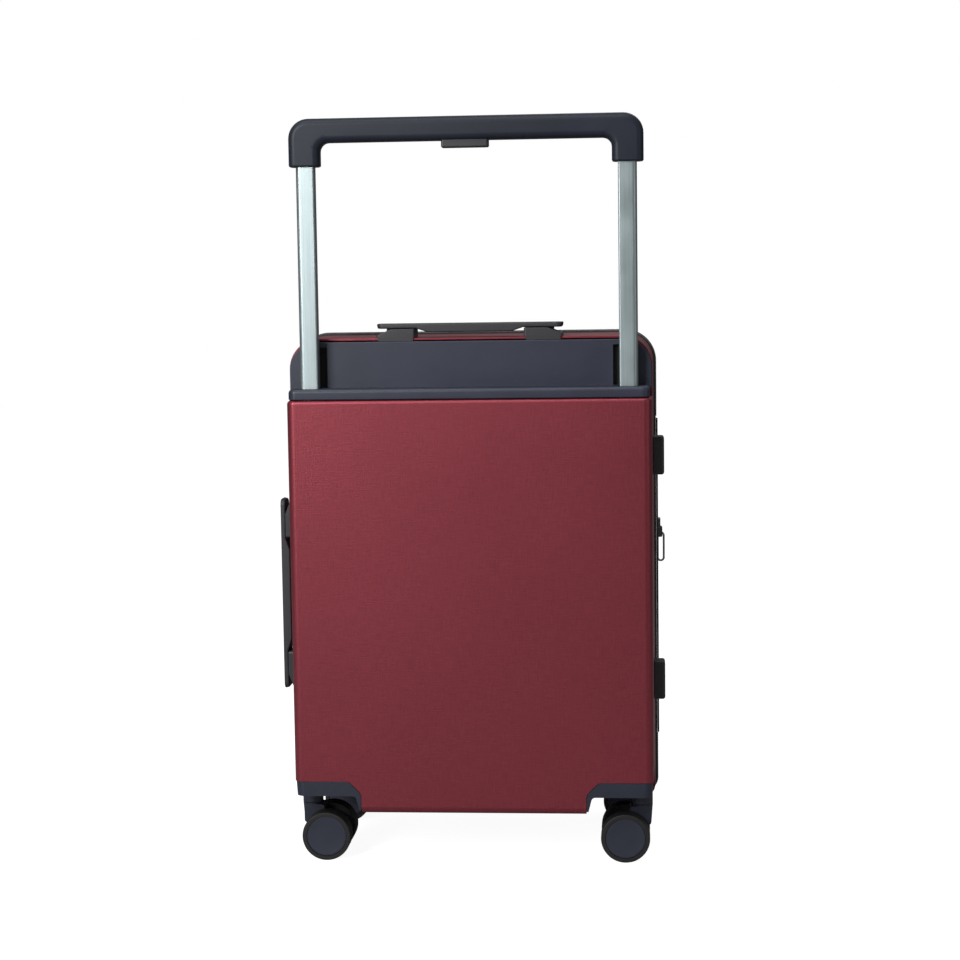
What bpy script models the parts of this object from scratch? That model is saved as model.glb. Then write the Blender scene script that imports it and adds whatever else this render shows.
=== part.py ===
"""Hard shell cabin suitcase on four twin wheel casters, its trolley drawn out by one stage.

Metres, +Z up, the floor at Z 0. X runs across the case. The back, with the trolley, faces -Y.
The lid hinge is on the +X side and the lock is on the -X side.
"""
import math

import bmesh
import bpy
from mathutils import Matrix

# ---------------------------------------------------------------- driving dimensions
CASE_DEPTH = 0.240
FACE_HALF_WIDTH = 0.1825      # across the back and front faces
RIM_HALF_WIDTH = 0.185        # at the zip: the walls lean out towards it
FACE_TOP = 0.5345             # top wall where it meets the back and front faces
RIM_TOP = 0.537
BODY_BOTTOM = 0.053
WALL = 0.002
CORNER_RADIUS = 0.030
LOWER_CORNER_RADIUS = 0.012
EDGE_RADIUS = 0.008
GAP = 0.0003                  # between pieces that rest on each other

BACK_RIM = -0.0130            # Y of the stations between the two shells
MAIN_ZIP = -0.0040
BAND_BACK = 0.0048
EXPANSION_ZIP = 0.0146
FRONT_RIM = 0.0198
TAPE_PROUD = 0.0020           # the zip tapes stand out of the shell walls by this
TAPE_THICKNESS = 0.0036

LEDGE_BOTTOM = 0.4750         # the trolley bezel's ledge, above the red back face
LEDGE_TOP = 0.4860
RECESS_DEPTH = 0.0280
BEZEL_HALF_WIDTH = 0.1810
BEZEL_TOP = 0.5320

TUBE_X = 0.1600
TUBE_Y = -CASE_DEPTH / 2 + 0.0150
TUBE_WIDTH = 0.0186
TUBE_DEPTH = 0.0140
TUBE_WALL = 0.0012
STAGE_STEP = 0.0015           # a stage's wall plus its running clearance
GRIP_TOP = 0.7540
GRIP_HEIGHT = 0.0475
GRIP_HALF_WIDTH = 0.1760
GRIP_BAR = 0.0240
GRIP_DEPTH = 0.0220
ELBOW_WIDTH = 0.0312
INNER_TRAVEL = 0.2190         # from this drawn out place down to the ledge
TUBE_TOP = GRIP_TOP - 0.0180  # the inner tubes end inside the grip's elbows
ROD_BAR = TUBE_TOP + 0.0007   # the bar that the button lifts, just above them

WHEEL_RADIUS = 0.0250
WHEEL_WIDTH = 0.0188
FORK_WEB = 0.0200
FORK_BOTTOM = 0.0318
SWIVEL_X = 0.1710
SWIVEL_Y = 0.0755
CASTER_TRAIL = 0.0175
HOUSING_TOP = 0.0860
HOUSING_INNER = 0.1147        # the housing's side next to the shell's bottom
HOUSING_DEPTH = 0.0800
HOUSING_BOTTOM = 0.0565
ARCH_TOP = 0.0712
BOSS_RADIUS = 0.0105
SWIVEL_SEAM = 0.0553          # between a housing's boss and the fork that turns under it

HANDLE_Y = -0.0740            # both carry handles stand on the back shell
HANDLE_HALF_DEPTH = 0.0130
HANDLE_STRAP = 0.0050         # thickness over the mounts
LEG_DEPTH = 0.0270            # from a handle's outer face to the ends of its legs
MOUNT_HALF_DEPTH = 0.0165
MOUNT_NEAR = 0.0395           # a mount's faces, back from the handle's end
MOUNT_RAMP = 0.0155
MOUNT_FAR = 0.0005
MOUNT_DROP = 0.0060           # of the ramp at its outer end
TOP_HANDLE_HALF = 0.0945
TOP_HANDLE_TOP = 0.5497
SIDE_HANDLE_Z = 0.2740
SIDE_HANDLE_HALF = 0.0985
SIDE_HANDLE_OUT = 0.1967
HANDLES = {"top": (TOP_HANDLE_HALF, TOP_HANDLE_TOP), "side": (SIDE_HANDLE_HALF, SIDE_HANDLE_OUT)}

LOCK_Y = (-0.0440, -0.0160)
LOCK_Z = (0.4020, 0.4580)
LOCK_OUT = -0.1866
LOCK_IN = -0.1745
DIAL_X = -0.1815
DIAL_RADIUS = 0.0058
DIAL_WIDTH = 0.0070
DIAL_Z = (0.4128, 0.4208, 0.4288)
LOCK_BUTTON_OUT = -0.1876
LOCK_BUTTON_Z = (0.4410, 0.4520)

SLIDER_SEAT = 0.1873          # the zip tapes' outer face, with its gap
SLIDER_OUT = 0.1912
SLIDER_HEIGHTS = {"upper": 0.4720, "lower": 0.3880}
EXPANSION_SLIDER_Z = (0.3280, 0.3400)
PULL_PIN = (0.1916, 0.3220)   # X and Z of the pin that the ring pull hangs on
RING_RADIUS = 0.0032
RING_LENGTH = 0.0238          # between the centres of its two rounded ends
RING_WIRE = 0.0011

HINGE_X = 0.1990              # upright axis that the lid swings on
HINGE_Z = (0.1150, 0.4470)
FOOT_HEIGHT = 0.0388
FOOT_Z = (0.1816, 0.4129)
FOOT_Y = (-0.0700, -0.0480)
FOOT_OUT = 0.1950

LINING_HALF_WIDTH = 0.1690
LINING_BOTTOM = 0.0920
LINING_TOP = 0.5150
LINING_WALL = 0.0012

BACK = -CASE_DEPTH / 2
FRONT = CASE_DEPTH / 2
SIDES = {"left": -1, "right": 1}

# ---------------------------------------------------------------- scene and helpers
for old in list(bpy.data.objects):
    bpy.data.objects.remove(old)

PARTS = bpy.data.collections.new("suitcase")
CUTTERS = bpy.data.collections.new("suitcase_cutters")
bpy.context.scene.collection.children.link(PARTS)
bpy.context.scene.collection.children.link(CUTTERS)

AXIS_TURN = {
    "X": Matrix(((0, 0, 1, 0), (1, 0, 0, 0), (0, 1, 0, 0), (0, 0, 0, 1))),
    "Y": Matrix(((1, 0, 0, 0), (0, 0, -1, 0), (0, 1, 0, 0), (0, 0, 0, 1))),
    "Z": Matrix.Identity(4),
}
AXIS_INDEX = {"X": 0, "Y": 1, "Z": 2}

LOOKS = {
    "shell": ((0.190, 0.040, 0.052), 0.38, 0.65),
    "navy": ((0.055, 0.060, 0.085), 0.45, 0.0),
    "dark": ((0.022, 0.022, 0.027), 0.55, 0.0),
    "aluminium": ((0.420, 0.460, 0.460), 0.32, 0.95),
    "steel": ((0.300, 0.300, 0.310), 0.30, 1.0),
    "tyre": ((0.012, 0.012, 0.013), 0.70, 0.0),
    "tape": ((0.020, 0.020, 0.024), 0.90, 0.0),
    "lining": ((0.050, 0.052, 0.062), 0.95, 0.0),
}


def material(name, look):
    """A Principled material of the piece's own, in one of the object's few finishes."""
    colour, roughness, metallic = LOOKS[look]
    made = bpy.data.materials.new(name + "_material")
    made.use_nodes = True
    shader = made.node_tree.nodes["Principled BSDF"]
    shader.inputs["Base Color"].default_value = (*colour, 1.0)
    shader.inputs["Roughness"].default_value = roughness
    shader.inputs["Metallic"].default_value = metallic
    made.diffuse_color = (*colour, 1.0)
    return made


def empty(name, location, parent=None):
    """An empty on a joint's axis, which carries the pieces that move about it."""
    made = bpy.data.objects.new(name, None)
    made.empty_display_size = 0.02
    PARTS.objects.link(made)
    made.location = location
    if parent:
        made.parent = parent
        made.matrix_parent_inverse = Matrix.Translation(parent.location).inverted()
    return made


def finish(piece, look, parent):
    """Gives a piece its material and hangs it from its body's empty, where it stands."""
    piece.data.materials.clear()
    piece.data.materials.append(material(piece.name, look))
    piece.parent = parent
    piece.matrix_parent_inverse = Matrix.Translation(parent.location).inverted()
    return piece


def from_bmesh(name, bm):
    bmesh.ops.recalc_face_normals(bm, faces=bm.faces)
    mesh = bpy.data.meshes.new(name)
    bm.to_mesh(mesh)
    bm.free()
    made = bpy.data.objects.new(name, mesh)
    PARTS.objects.link(made)
    return made


def box(name, low, high, bevel=0.0, segments=2):
    """A box between two corners, with all its edges rounded when bevel is given."""
    bm = bmesh.new()
    bmesh.ops.create_cube(bm, size=1.0)
    for vert in bm.verts:
        vert.co = [low[i] if vert.co[i] < 0 else high[i] for i in range(3)]
    if bevel:
        bmesh.ops.bevel(bm, geom=bm.edges[:], offset=bevel, segments=segments,
                        profile=0.5, affect="EDGES")
    return from_bmesh(name, bm)


def cylinder(name, radius, axis, low, high, centre, segments=24, top_radius=None):
    """A cylinder or cone along an axis, from low to high, centred in the other two axes."""
    bm = bmesh.new()
    bmesh.ops.create_cone(bm, cap_ends=True, segments=segments, radius1=radius,
                          radius2=radius if top_radius is None else top_radius,
                          depth=high - low)
    bm.transform(AXIS_TURN[axis] if axis != "Y" else AXIS_TURN["Y"].inverted())
    place = list(centre)
    place.insert(AXIS_INDEX[axis], (low + high) / 2)
    bm.transform(Matrix.Translation(place))
    return from_bmesh(name, bm)


def plate(name, loops, axis, low, high):
    """A flat outline, with holes where it has more than one loop, made thick along an axis.

    A loop is in (Y, Z) for X, in (X, Z) for Y and in (X, Y) for Z.
    """
    curve = bpy.data.curves.new(name + "_outline", "CURVE")
    curve.dimensions = "2D"
    curve.fill_mode = "BOTH"
    curve.extrude = (high - low) / 2
    for loop in loops:
        spline = curve.splines.new("POLY")
        spline.points.add(len(loop) - 1)
        for point, (a, b) in zip(spline.points, loop):
            point.co = (a, b, 0, 1)
        spline.use_cyclic_u = True
    flat = bpy.data.objects.new(name + "_outline", curve)
    PARTS.objects.link(flat)
    depsgraph = bpy.context.evaluated_depsgraph_get()
    mesh = bpy.data.meshes.new_from_object(flat.evaluated_get(depsgraph))
    bm = bmesh.new()
    bm.from_mesh(mesh)
    bmesh.ops.remove_doubles(bm, verts=bm.verts, dist=1e-6)
    place = [0, 0, 0]
    place[AXIS_INDEX[axis]] = (low + high) / 2
    bm.transform(Matrix.Translation(place) @ AXIS_TURN[axis])
    bpy.data.objects.remove(flat)
    bpy.data.meshes.remove(mesh)
    return from_bmesh(name, bm)


def modify(piece, tool, operation="DIFFERENCE"):
    """Cuts a piece with a tool, or joins the tool to it."""
    PARTS.objects.unlink(tool)
    CUTTERS.objects.link(tool)
    tool.name = piece.name + "_" + operation.lower() + "_tool"
    tool.hide_render = True
    tool.display_type = "WIRE"
    change = piece.modifiers.new(operation.lower(), "BOOLEAN")
    change.operation = operation
    change.solver = "EXACT"
    change.object = tool
    return piece


def smooth(piece, angle=30):
    piece.data.shade_smooth()
    piece.data.set_sharp_from_angle(angle=math.radians(angle))
    return piece


def arc(centre, radius, start, end, steps):
    """Points on an arc, angles in degrees, both ends included."""
    points = []
    for step in range(steps + 1):
        angle = math.radians(start + (end - start) * step / steps)
        points.append((centre[0] + radius * math.cos(angle), centre[1] + radius * math.sin(angle)))
    return points


def rounded(x0, z0, x1, z1, radii, steps=4):
    """A rectangle with its own radius at the lower left, lower right, upper right, upper left."""
    corners = ((x0, z0, 1, 1, 180), (x1, z0, -1, 1, 270), (x1, z1, -1, -1, 0), (x0, z1, 1, -1, 90))
    loop = []
    for (x, z, sx, sz, start), radius in zip(corners, radii):
        centre = (x + sx * radius, z + sz * radius)
        loop += arc(centre, radius, start, start + 90, steps)
    return loop


def circle(centre, radius, steps):
    return arc(centre, radius, 0, 360, steps)[:-1]


def rim_loop(grow, steps=5):
    """The case's outline at the zip, grown outwards."""
    upper = CORNER_RADIUS + grow
    lower = LOWER_CORNER_RADIUS + grow
    return rounded(-RIM_HALF_WIDTH - grow, BODY_BOTTOM - grow, RIM_HALF_WIDTH + grow,
                   RIM_TOP + grow, (lower, lower, upper, upper), steps)


def lean(y):
    """How far the walls have leant out at this depth, 0 at a face and 1 at the rim."""
    rim = BACK_RIM if y < 0 else FRONT_RIM
    face = BACK if y < 0 else FRONT
    return (y - face) / (rim - face)


def side_wall(y):
    return FACE_HALF_WIDTH + (RIM_HALF_WIDTH - FACE_HALF_WIDTH) * lean(y)


def top_wall(y):
    return FACE_TOP + (RIM_TOP - FACE_TOP) * lean(y)


def side_block(name, side, y, z, out, bevel=0.0):
    """A block on a side wall, its seat following the wall's lean. y and z are (low, high)."""
    bm = bmesh.new()
    bmesh.ops.create_cube(bm, size=1.0)
    for vert in bm.verts:
        outer = vert.co.x > 0
        at_y = y[1] if vert.co.y > 0 else y[0]
        at_z = z[1] if vert.co.z > 0 else z[0]
        vert.co = ((out if outer else side_wall(at_y) + GAP) * side, at_y, at_z)
    if bevel:
        tops = [e for e in bm.edges if all(abs(abs(v.co.x) - out) < 1e-6 for v in e.verts)]
        bmesh.ops.bevel(bm, geom=tops, offset=bevel, segments=2, profile=0.5, affect="EDGES")
    return from_bmesh(name, bm)


def tray(name, closed_y, open_y, half, bottom, top, radii, edge, wall, steps=5):
    """A moulded tray: one closed face, four walls. half and top are (at the face, at the rim)."""
    bm = bmesh.new()
    bmesh.ops.create_cube(bm, size=1.0)
    for vert in bm.verts:
        at_face = (vert.co.y < 0) == (closed_y < open_y)
        x = half[0] if at_face else half[1]
        high = top[0] if at_face else top[1]
        vert.co = (math.copysign(x, vert.co.x), closed_y if at_face else open_y,
                   high if vert.co.z > 0 else bottom)
    middle = (bottom + top[0]) / 2
    for radius, upper in ((radii[0], True), (radii[1], False)):
        corners = [e for e in bm.edges
                   if abs(e.verts[0].co.y - e.verts[1].co.y) > 1e-6
                   and abs(abs(e.verts[0].co.x) - abs(e.verts[1].co.x)) < 0.01
                   and (e.verts[0].co.z > middle) == upper
                   and len(e.link_faces) == 2 and e.calc_face_angle() > 1.0]
        bmesh.ops.bevel(bm, geom=corners, offset=radius, segments=steps, profile=0.5,
                        affect="EDGES")
    face = [f for f in bm.faces if all(abs(v.co.y - closed_y) < 1e-6 for v in f.verts)][0]
    bmesh.ops.bevel(bm, geom=list(face.edges), offset=edge, segments=3, profile=0.5,
                    affect="EDGES")
    mouth = [f for f in bm.faces if all(abs(v.co.y - open_y) < 1e-6 for v in f.verts)]
    bmesh.ops.delete(bm, geom=mouth, context="FACES_ONLY")
    made = from_bmesh(name, bm)
    thick = made.modifiers.new("wall", "SOLIDIFY")
    thick.thickness = wall
    thick.offset = -1
    thick.use_even_offset = True
    return made


def turned(name, profile, centre, outward, segments=24):
    """A solid turned about Y. The profile is (radius, distance along Y) from axis to axis."""
    bm = bmesh.new()
    verts = [bm.verts.new((radius, along * outward, 0)) for radius, along in profile]
    edges = [bm.edges.new(pair) for pair in zip(verts, verts[1:])]
    bmesh.ops.spin(bm, geom=verts + edges, cent=(0, 0, 0), axis=(0, 1, 0), dvec=(0, 0, 0),
                   angle=2 * math.pi, steps=segments, use_merge=True)
    bmesh.ops.remove_doubles(bm, verts=bm.verts, dist=1e-6)
    bm.transform(Matrix.Translation(centre))
    return smooth(from_bmesh(name, bm))


def mirrored(points, side):
    return [(x * side, z) for x, z in points]


# ---------------------------------------------------------------- shells and what closes them
def shell(name, end, body):
    """One half of the case, with the notches for its two wheel housings."""
    face = end * CASE_DEPTH / 2
    piece = tray(name, face, BACK_RIM if end < 0 else FRONT_RIM,
                 (FACE_HALF_WIDTH, RIM_HALF_WIDTH), BODY_BOTTOM, (FACE_TOP, RIM_TOP),
                 (CORNER_RADIUS, LOWER_CORNER_RADIUS), EDGE_RADIUS, WALL)
    for side in SIDES.values():
        notch = [(0.2, 0.03), (0.2, HOUSING_TOP + GAP)]
        notch += housing_shoulder(HOUSING_TOP + GAP, HOUSING_INNER - GAP)
        notch += [(HOUSING_INNER - GAP, 0.03)]
        inner = face - end * (HOUSING_DEPTH + GAP)
        reach = sorted((inner, face + end * 0.01))
        modify(piece, plate("notch", [mirrored(notch, side)], "Y", *reach))
    return finish(smooth(piece), "shell", body)


def housing_shoulder(top, inner):
    """The chamfer with soft ends between a housing's top edge and its inner side."""
    return [(inner + 0.0140, top), (inner + 0.0100, top - 0.0013),
            (inner + 0.0014, top - 0.0100), (inner, top - 0.0135)]


def back_shell(body):
    piece = shell("back_shell", -1, body)
    modify(piece, box("notch", (-0.2, BACK - 0.01, LEDGE_BOTTOM - 0.0004),
                      (0.2, BACK + RECESS_DEPTH + 0.0033, 0.56)))
    for side in (-1, 1):
        modify(piece, handle_slot("top", side))
        modify(piece, handle_slot("side", side))
    modify(piece, box("window", (-0.2, LOCK_Y[0] - GAP, LOCK_Z[0] - GAP),
                      (-0.17, LOCK_Y[1] + GAP, LOCK_Z[1] + GAP)))


def ring(name, low, high, look, body, grow=TAPE_PROUD, thickness=TAPE_THICKNESS):
    """A strip that runs all round the case between two depths."""
    piece = plate(name, [rim_loop(grow), rim_loop(grow - thickness)], "Y", low, high)
    return finish(smooth(piece), look, body)


def closures(back, band, front):
    half_gap = GAP / 2
    ring("main_zip_back", BACK_RIM + GAP, MAIN_ZIP - half_gap, "tape", back)
    ring("main_zip_front", MAIN_ZIP + half_gap, BAND_BACK - GAP, "tape", band)
    ring("mid_band", BAND_BACK, EXPANSION_ZIP - half_gap, "dark", band)
    ring("expansion_zip_front", EXPANSION_ZIP + half_gap, FRONT_RIM - GAP, "tape", front)
    ring("expansion_gusset", 0.0078, 0.0240, "tape", band, grow=-0.0030, thickness=0.0010)
    hinge = box("hinge_tape", (SLIDER_SEAT, BACK_RIM + GAP, HINGE_Z[0]),
                (0.1890, MAIN_ZIP - GAP, HINGE_Z[1]))
    finish(hinge, "tape", back)


def linings(back, front):
    half = (LINING_HALF_WIDTH, LINING_HALF_WIDTH)
    top = (LINING_TOP, LINING_TOP)
    rear = tray("back_lining", -0.0780, -0.0145, half, LINING_BOTTOM, top, (0.020, 0.012), 0.006,
                LINING_WALL, 3)
    fore = tray("front_lining", 0.1165, 0.0260, half, LINING_BOTTOM, top, (0.020, 0.012), 0.006,
                LINING_WALL, 3)
    finish(rear, "lining", back)
    finish(fore, "lining", front)


# ---------------------------------------------------------------- trolley
def tube_loop(side, stage, grow=0.0):
    """A trolley tube's outline in (X, Y): soft corners outside, tighter ones inside."""
    extra = STAGE_STEP * stage + grow
    half = (TUBE_WIDTH / 2 + extra, TUBE_DEPTH / 2 + extra)
    soft = 0.0048 + extra
    tight = max(0.0016 + extra, 0.0004)
    radii = (tight, soft, soft, tight) if side > 0 else (soft, tight, tight, soft)
    centre = side * TUBE_X
    return rounded(centre - half[0], TUBE_Y - half[1], centre + half[0], TUBE_Y + half[1],
                   radii, 3)


def tube(name, side, stage, low, high, body):
    piece = plate(name, [tube_loop(side, stage), tube_loop(side, stage, -TUBE_WALL)], "Z", low, high)
    return finish(smooth(piece), "aluminium", body)


def bezel(body):
    """The navy moulding that the trolley runs through: a ledge, and a wall set back above it."""
    wall = BACK + RECESS_DEPTH
    outline = rounded(-BEZEL_HALF_WIDTH, LEDGE_TOP - 0.004, BEZEL_HALF_WIDTH, BEZEL_TOP,
                      (0.001, 0.001, 0.028, 0.028), 5)
    piece = plate("trolley_bezel", [outline], "Y", wall, wall + 0.003)
    ledge = rounded(-BEZEL_HALF_WIDTH, BACK + 0.0004, BEZEL_HALF_WIDTH, wall + 0.0028,
                    (EDGE_RADIUS, EDGE_RADIUS, 0.001, 0.001), 4)
    modify(piece, plate("ledge", [ledge], "Z", LEDGE_BOTTOM, LEDGE_TOP), "UNION")
    for side in SIDES.values():
        back_of_pocket = [(0.1412, LEDGE_TOP - 0.005), (0.1722, LEDGE_TOP - 0.005), (0.1722, 0.5180),
                          (0.1630, 0.5292), (0.1412, 0.5292)]
        modify(piece, plate("pocket_back", [mirrored(back_of_pocket, side)], "Y", wall + 0.001,
                            wall + 0.011), "UNION")
    modify(piece, box("hollow", (-0.176, BACK + 0.0034, LEDGE_BOTTOM - 0.01),
                      (0.176, wall - 0.0005, LEDGE_TOP - 0.003)))
    for side in SIDES.values():
        pocket = [(0.1442, LEDGE_TOP), (0.1692, LEDGE_TOP), (0.1692, 0.5165), (0.1615, 0.5268),
                  (0.1442, 0.5268)]
        modify(piece, plate("pocket", [mirrored(pocket, side)], "Y", wall - 0.001, wall + 0.008))
        modify(piece, plate("tube_hole", [tube_loop(side, 1, GAP)], "Z", LEDGE_TOP - 0.02,
                            LEDGE_TOP + 0.01))
    finish(smooth(piece), "navy", body)


def trolley_fixed(body):
    bezel(body)
    foot_y = (BACK + 0.0028, TUBE_Y + 0.0125)
    foot = box("trolley_foot", (-0.1755, foot_y[0], 0.0895), (0.1755, foot_y[1], 0.0995))
    modify(foot, box("bar", (-0.1440, foot_y[0] - 0.01, 0.0925), (0.1440, foot_y[1] + 0.01, 0.11)))
    for label, side in SIDES.items():
        modify(foot, plate("socket", [tube_loop(side, 2, GAP)], "Z", 0.0922, 0.11))
        tube("outer_tube_" + label, side, 2, 0.0925, LEDGE_TOP - 0.0033, body)
    finish(foot, "dark", body)


def grip(body):
    low = GRIP_TOP - GRIP_HEIGHT
    inner = GRIP_HALF_WIDTH - ELBOW_WIDTH
    under = GRIP_TOP - GRIP_BAR
    half = [(GRIP_HALF_WIDTH, low)]
    half += arc((GRIP_HALF_WIDTH - 0.020, GRIP_TOP - 0.020), 0.020, 0, 90, 6)
    inside = arc((inner - 0.009, under - 0.009), 0.009, 90, 0, 4) + [(inner, low)]
    outline = half + mirrored(half[::-1], -1) + mirrored(inside[::-1], -1) + inside
    piece = plate("grip", [outline], "Y", TUBE_Y - GRIP_DEPTH / 2, TUBE_Y + GRIP_DEPTH / 2)
    soften = piece.modifiers.new("soften", "BEVEL")
    soften.width = 0.0035
    soften.segments = 2
    soften.limit_method = "ANGLE"
    soften.angle_limit = math.radians(50)
    for side in SIDES.values():
        modify(piece, plate("socket", [tube_loop(side, 0, GAP)], "Z", low - 0.01, TUBE_TOP + 0.0005))
    modify(piece, box("channel", (-TUBE_X - 0.003, TUBE_Y - 0.003, ROD_BAR - 0.002),
                      (TUBE_X + 0.003, TUBE_Y + 0.003, ROD_BAR + 0.0080)))
    modify(piece, box("button_well", (-0.0240, TUBE_Y - 0.0070, under - 0.001),
                      (0.0240, TUBE_Y + 0.0070, ROD_BAR + 0.0080)))
    finish(smooth(piece), "navy", body)


def trolley_moving(middle, inner, button):
    for label, side in SIDES.items():
        tube("middle_tube_" + label, side, 1, 0.1010, LEDGE_TOP - 0.0015, middle)
        tube("inner_tube_" + label, side, 0, 0.1050 + INNER_TRAVEL, TUBE_TOP, inner)
    grip(inner)
    key = box("grip_button", (-0.0235, TUBE_Y - 0.0065, GRIP_TOP - GRIP_BAR - 0.0070),
              (0.0235, TUBE_Y + 0.0065, ROD_BAR - GAP), 0.0015)
    finish(key, "dark", button)
    rods = box("push_rods", (-TUBE_X - 0.0017, TUBE_Y - 0.0022, ROD_BAR),
               (TUBE_X + 0.0017, TUBE_Y + 0.0022, ROD_BAR + 0.0030))
    for side in SIDES.values():
        rod = cylinder("rod", 0.0016, "Z", 0.1110 + INNER_TRAVEL, ROD_BAR + 0.0015,
                       (side * TUBE_X, TUBE_Y), 10)
        modify(rods, rod, "UNION")
    finish(rods, "steel", button)


# ---------------------------------------------------------------- carry handles
def handle_place(which, along, out):
    """A point of a handle in (X, Z): the top one lies along X, the side one along Z."""
    if which == "top":
        return (along, out)
    return (-out, SIDE_HANDLE_Z + along)


def span_box(name, which, along, out, half_depth):
    a = handle_place(which, along[0], out[0])
    b = handle_place(which, along[1], out[1])
    return box(name, (min(a[0], b[0]), HANDLE_Y - half_depth, min(a[1], b[1])),
               (max(a[0], b[0]), HANDLE_Y + half_depth, max(a[1], b[1])))


def leg_span(which, side, clear=0.0):
    half = HANDLES[which][0]
    return sorted((side * (half - 0.0335 - clear), side * (half - 0.0095 + clear)))


def handle_slot(which, side):
    out = HANDLES[which][1]
    return span_box("slot", which, leg_span(which, side, 0.0008), (out - 0.034, out), 0.0048)


def handle(which, name, body):
    """A sprung strap: slim over its mounts, deeper where the hand holds it."""
    half, out = HANDLES[which]
    right = [(half - 0.0020, out), (half, out - 0.0024), (half - 0.0010, out - 0.0047),
             (half - MOUNT_NEAR - 0.001, out - HANDLE_STRAP), (half - 0.0525, out - 0.0090)]
    outline = [handle_place(which, a, o) for a, o in right + mirrored(right[::-1], -1)]
    piece = plate(name, [outline], "Y", HANDLE_Y - HANDLE_HALF_DEPTH, HANDLE_Y + HANDLE_HALF_DEPTH)
    for side in (-1, 1):
        modify(piece, span_box("leg", which, leg_span(which, side), (out - LEG_DEPTH, out - 0.003),
                               0.0040), "UNION")
    finish(piece, "dark", body)


def handle_mount(which, side, name, body):
    """A block that one of a handle's legs runs through: it ramps down at the handle's end."""
    half, out = HANDLES[which]
    top = out - HANDLE_STRAP - GAP
    near, ramp, far = half - MOUNT_NEAR, half - MOUNT_RAMP, half - MOUNT_FAR
    bm = bmesh.new()
    ends = []
    for way in (-1, 1):
        y = HANDLE_Y + way * MOUNT_HALF_DEPTH
        seat = (top_wall(y) if which == "top" else side_wall(y)) + GAP
        outline = [(near, seat), (near, top), (ramp, top), (far, top - MOUNT_DROP), (far, seat)]
        corners = [handle_place(which, side * a, o) for a, o in outline]
        ends.append([bm.verts.new((x, y, z)) for x, z in corners])
        bm.faces.new(ends[-1])
    for k in range(5):
        bm.faces.new((ends[0][k - 1], ends[0][k], ends[1][k], ends[1][k - 1]))
    piece = from_bmesh(name, bm)
    if which == "top":
        front = HANDLE_Y - MOUNT_HALF_DEPTH
        lip = [sorted((side * near, side * far)), (front + 0.0002, BACK + RECESS_DEPTH + 0.0030),
               (BEZEL_TOP + GAP, BEZEL_TOP + 0.0055)]
        modify(piece, box("lip", *zip(*lip)), "UNION")
    modify(piece, handle_slot(which, side))
    finish(piece, "dark", body)


# ---------------------------------------------------------------- lock and zip pulls
def lock(body, dials, button):
    middle = (LOCK_Y[0] + LOCK_Y[1]) / 2
    low, high = LOCK_BUTTON_Z
    piece = box("lock_body", (LOCK_OUT, LOCK_Y[0], LOCK_Z[0]), (LOCK_IN, LOCK_Y[1], LOCK_Z[1]))
    modify(piece, box("dial_window", (-0.2, middle - 0.0066, DIAL_Z[0] - 0.0043),
                      (LOCK_IN - 0.0008, middle + 0.0066, DIAL_Z[2] + 0.0043)))
    modify(piece, box("button_well", (-0.2, middle - 0.0064, low - 0.0004),
                      (LOCK_IN - 0.0020, middle + 0.0064, high + 0.0004)))
    spindle = cylinder("spindle", 0.0015, "Z", DIAL_Z[0] - 0.0058, DIAL_Z[2] + 0.0057,
                       (DIAL_X, middle), 10)
    modify(piece, spindle, "UNION")
    finish(piece, "dark", body)
    for number, (height, dial_body) in enumerate(zip(DIAL_Z, dials), 1):
        loops = [circle((DIAL_X, middle), DIAL_RADIUS, 20), circle((DIAL_X, middle), 0.0019, 10)]
        dial = plate("lock_dial_%d" % number, loops, "Z", height - DIAL_WIDTH / 2,
                     height + DIAL_WIDTH / 2)
        finish(dial, "steel", dial_body)
    key = box("lock_button", (LOCK_BUTTON_OUT, middle - 0.0060, low),
              (LOCK_BUTTON_OUT + 0.0084, middle + 0.0060, high))
    finish(key, "steel", button)


def main_slider(name, height, body):
    piece = box(name, (-SLIDER_OUT, -0.0085, height - 0.0055), (-SLIDER_SEAT, 0.0005, height + 0.0055),
                0.0008, 1)
    tab = box("tab", (-0.1898, -0.0235, height - 0.0025), (-0.1880, -0.0070, height + 0.0025))
    modify(piece, tab, "UNION")
    finish(piece, "steel", body)


def expansion_pull(slider, pull):
    y = EXPANSION_ZIP
    low, high = EXPANSION_SLIDER_Z
    piece = box("expansion_slider", (SLIDER_SEAT, y - 0.0040, low), (0.1916, y + 0.0040, high),
                0.0008, 1)
    for side in (-1, 1):
        cheek_y = sorted((y + side * 0.0017, y + side * 0.0030))
        cheek = box("cheek", (0.1880, cheek_y[0], PULL_PIN[1] - 0.0025),
                    (PULL_PIN[0] + 0.0020, cheek_y[1], low + 0.0030))
        modify(piece, cheek, "UNION")
    pin = cylinder("pin", 0.0009, "Y", y - 0.0025, y + 0.0025, PULL_PIN, 10)
    modify(piece, pin, "UNION")
    finish(piece, "steel", slider)
    curve = bpy.data.curves.new("expansion_pull", "CURVE")
    curve.dimensions = "3D"
    curve.bevel_depth = RING_WIRE
    curve.bevel_resolution = 1
    spline = curve.splines.new("POLY")
    x = PULL_PIN[0] + 0.0002
    top = PULL_PIN[1] - 0.0009
    route = arc((x, top), RING_RADIUS, 0, 180, 6)
    route += arc((x, top - RING_LENGTH), RING_RADIUS, 180, 360, 6)
    spline.points.add(len(route) - 1)
    for point, (a, b) in zip(spline.points, route):
        point.co = (a, y, b, 1)
    spline.use_cyclic_u = True
    made = bpy.data.objects.new("expansion_pull", curve)
    PARTS.objects.link(made)
    finish(made, "steel", pull)


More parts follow.
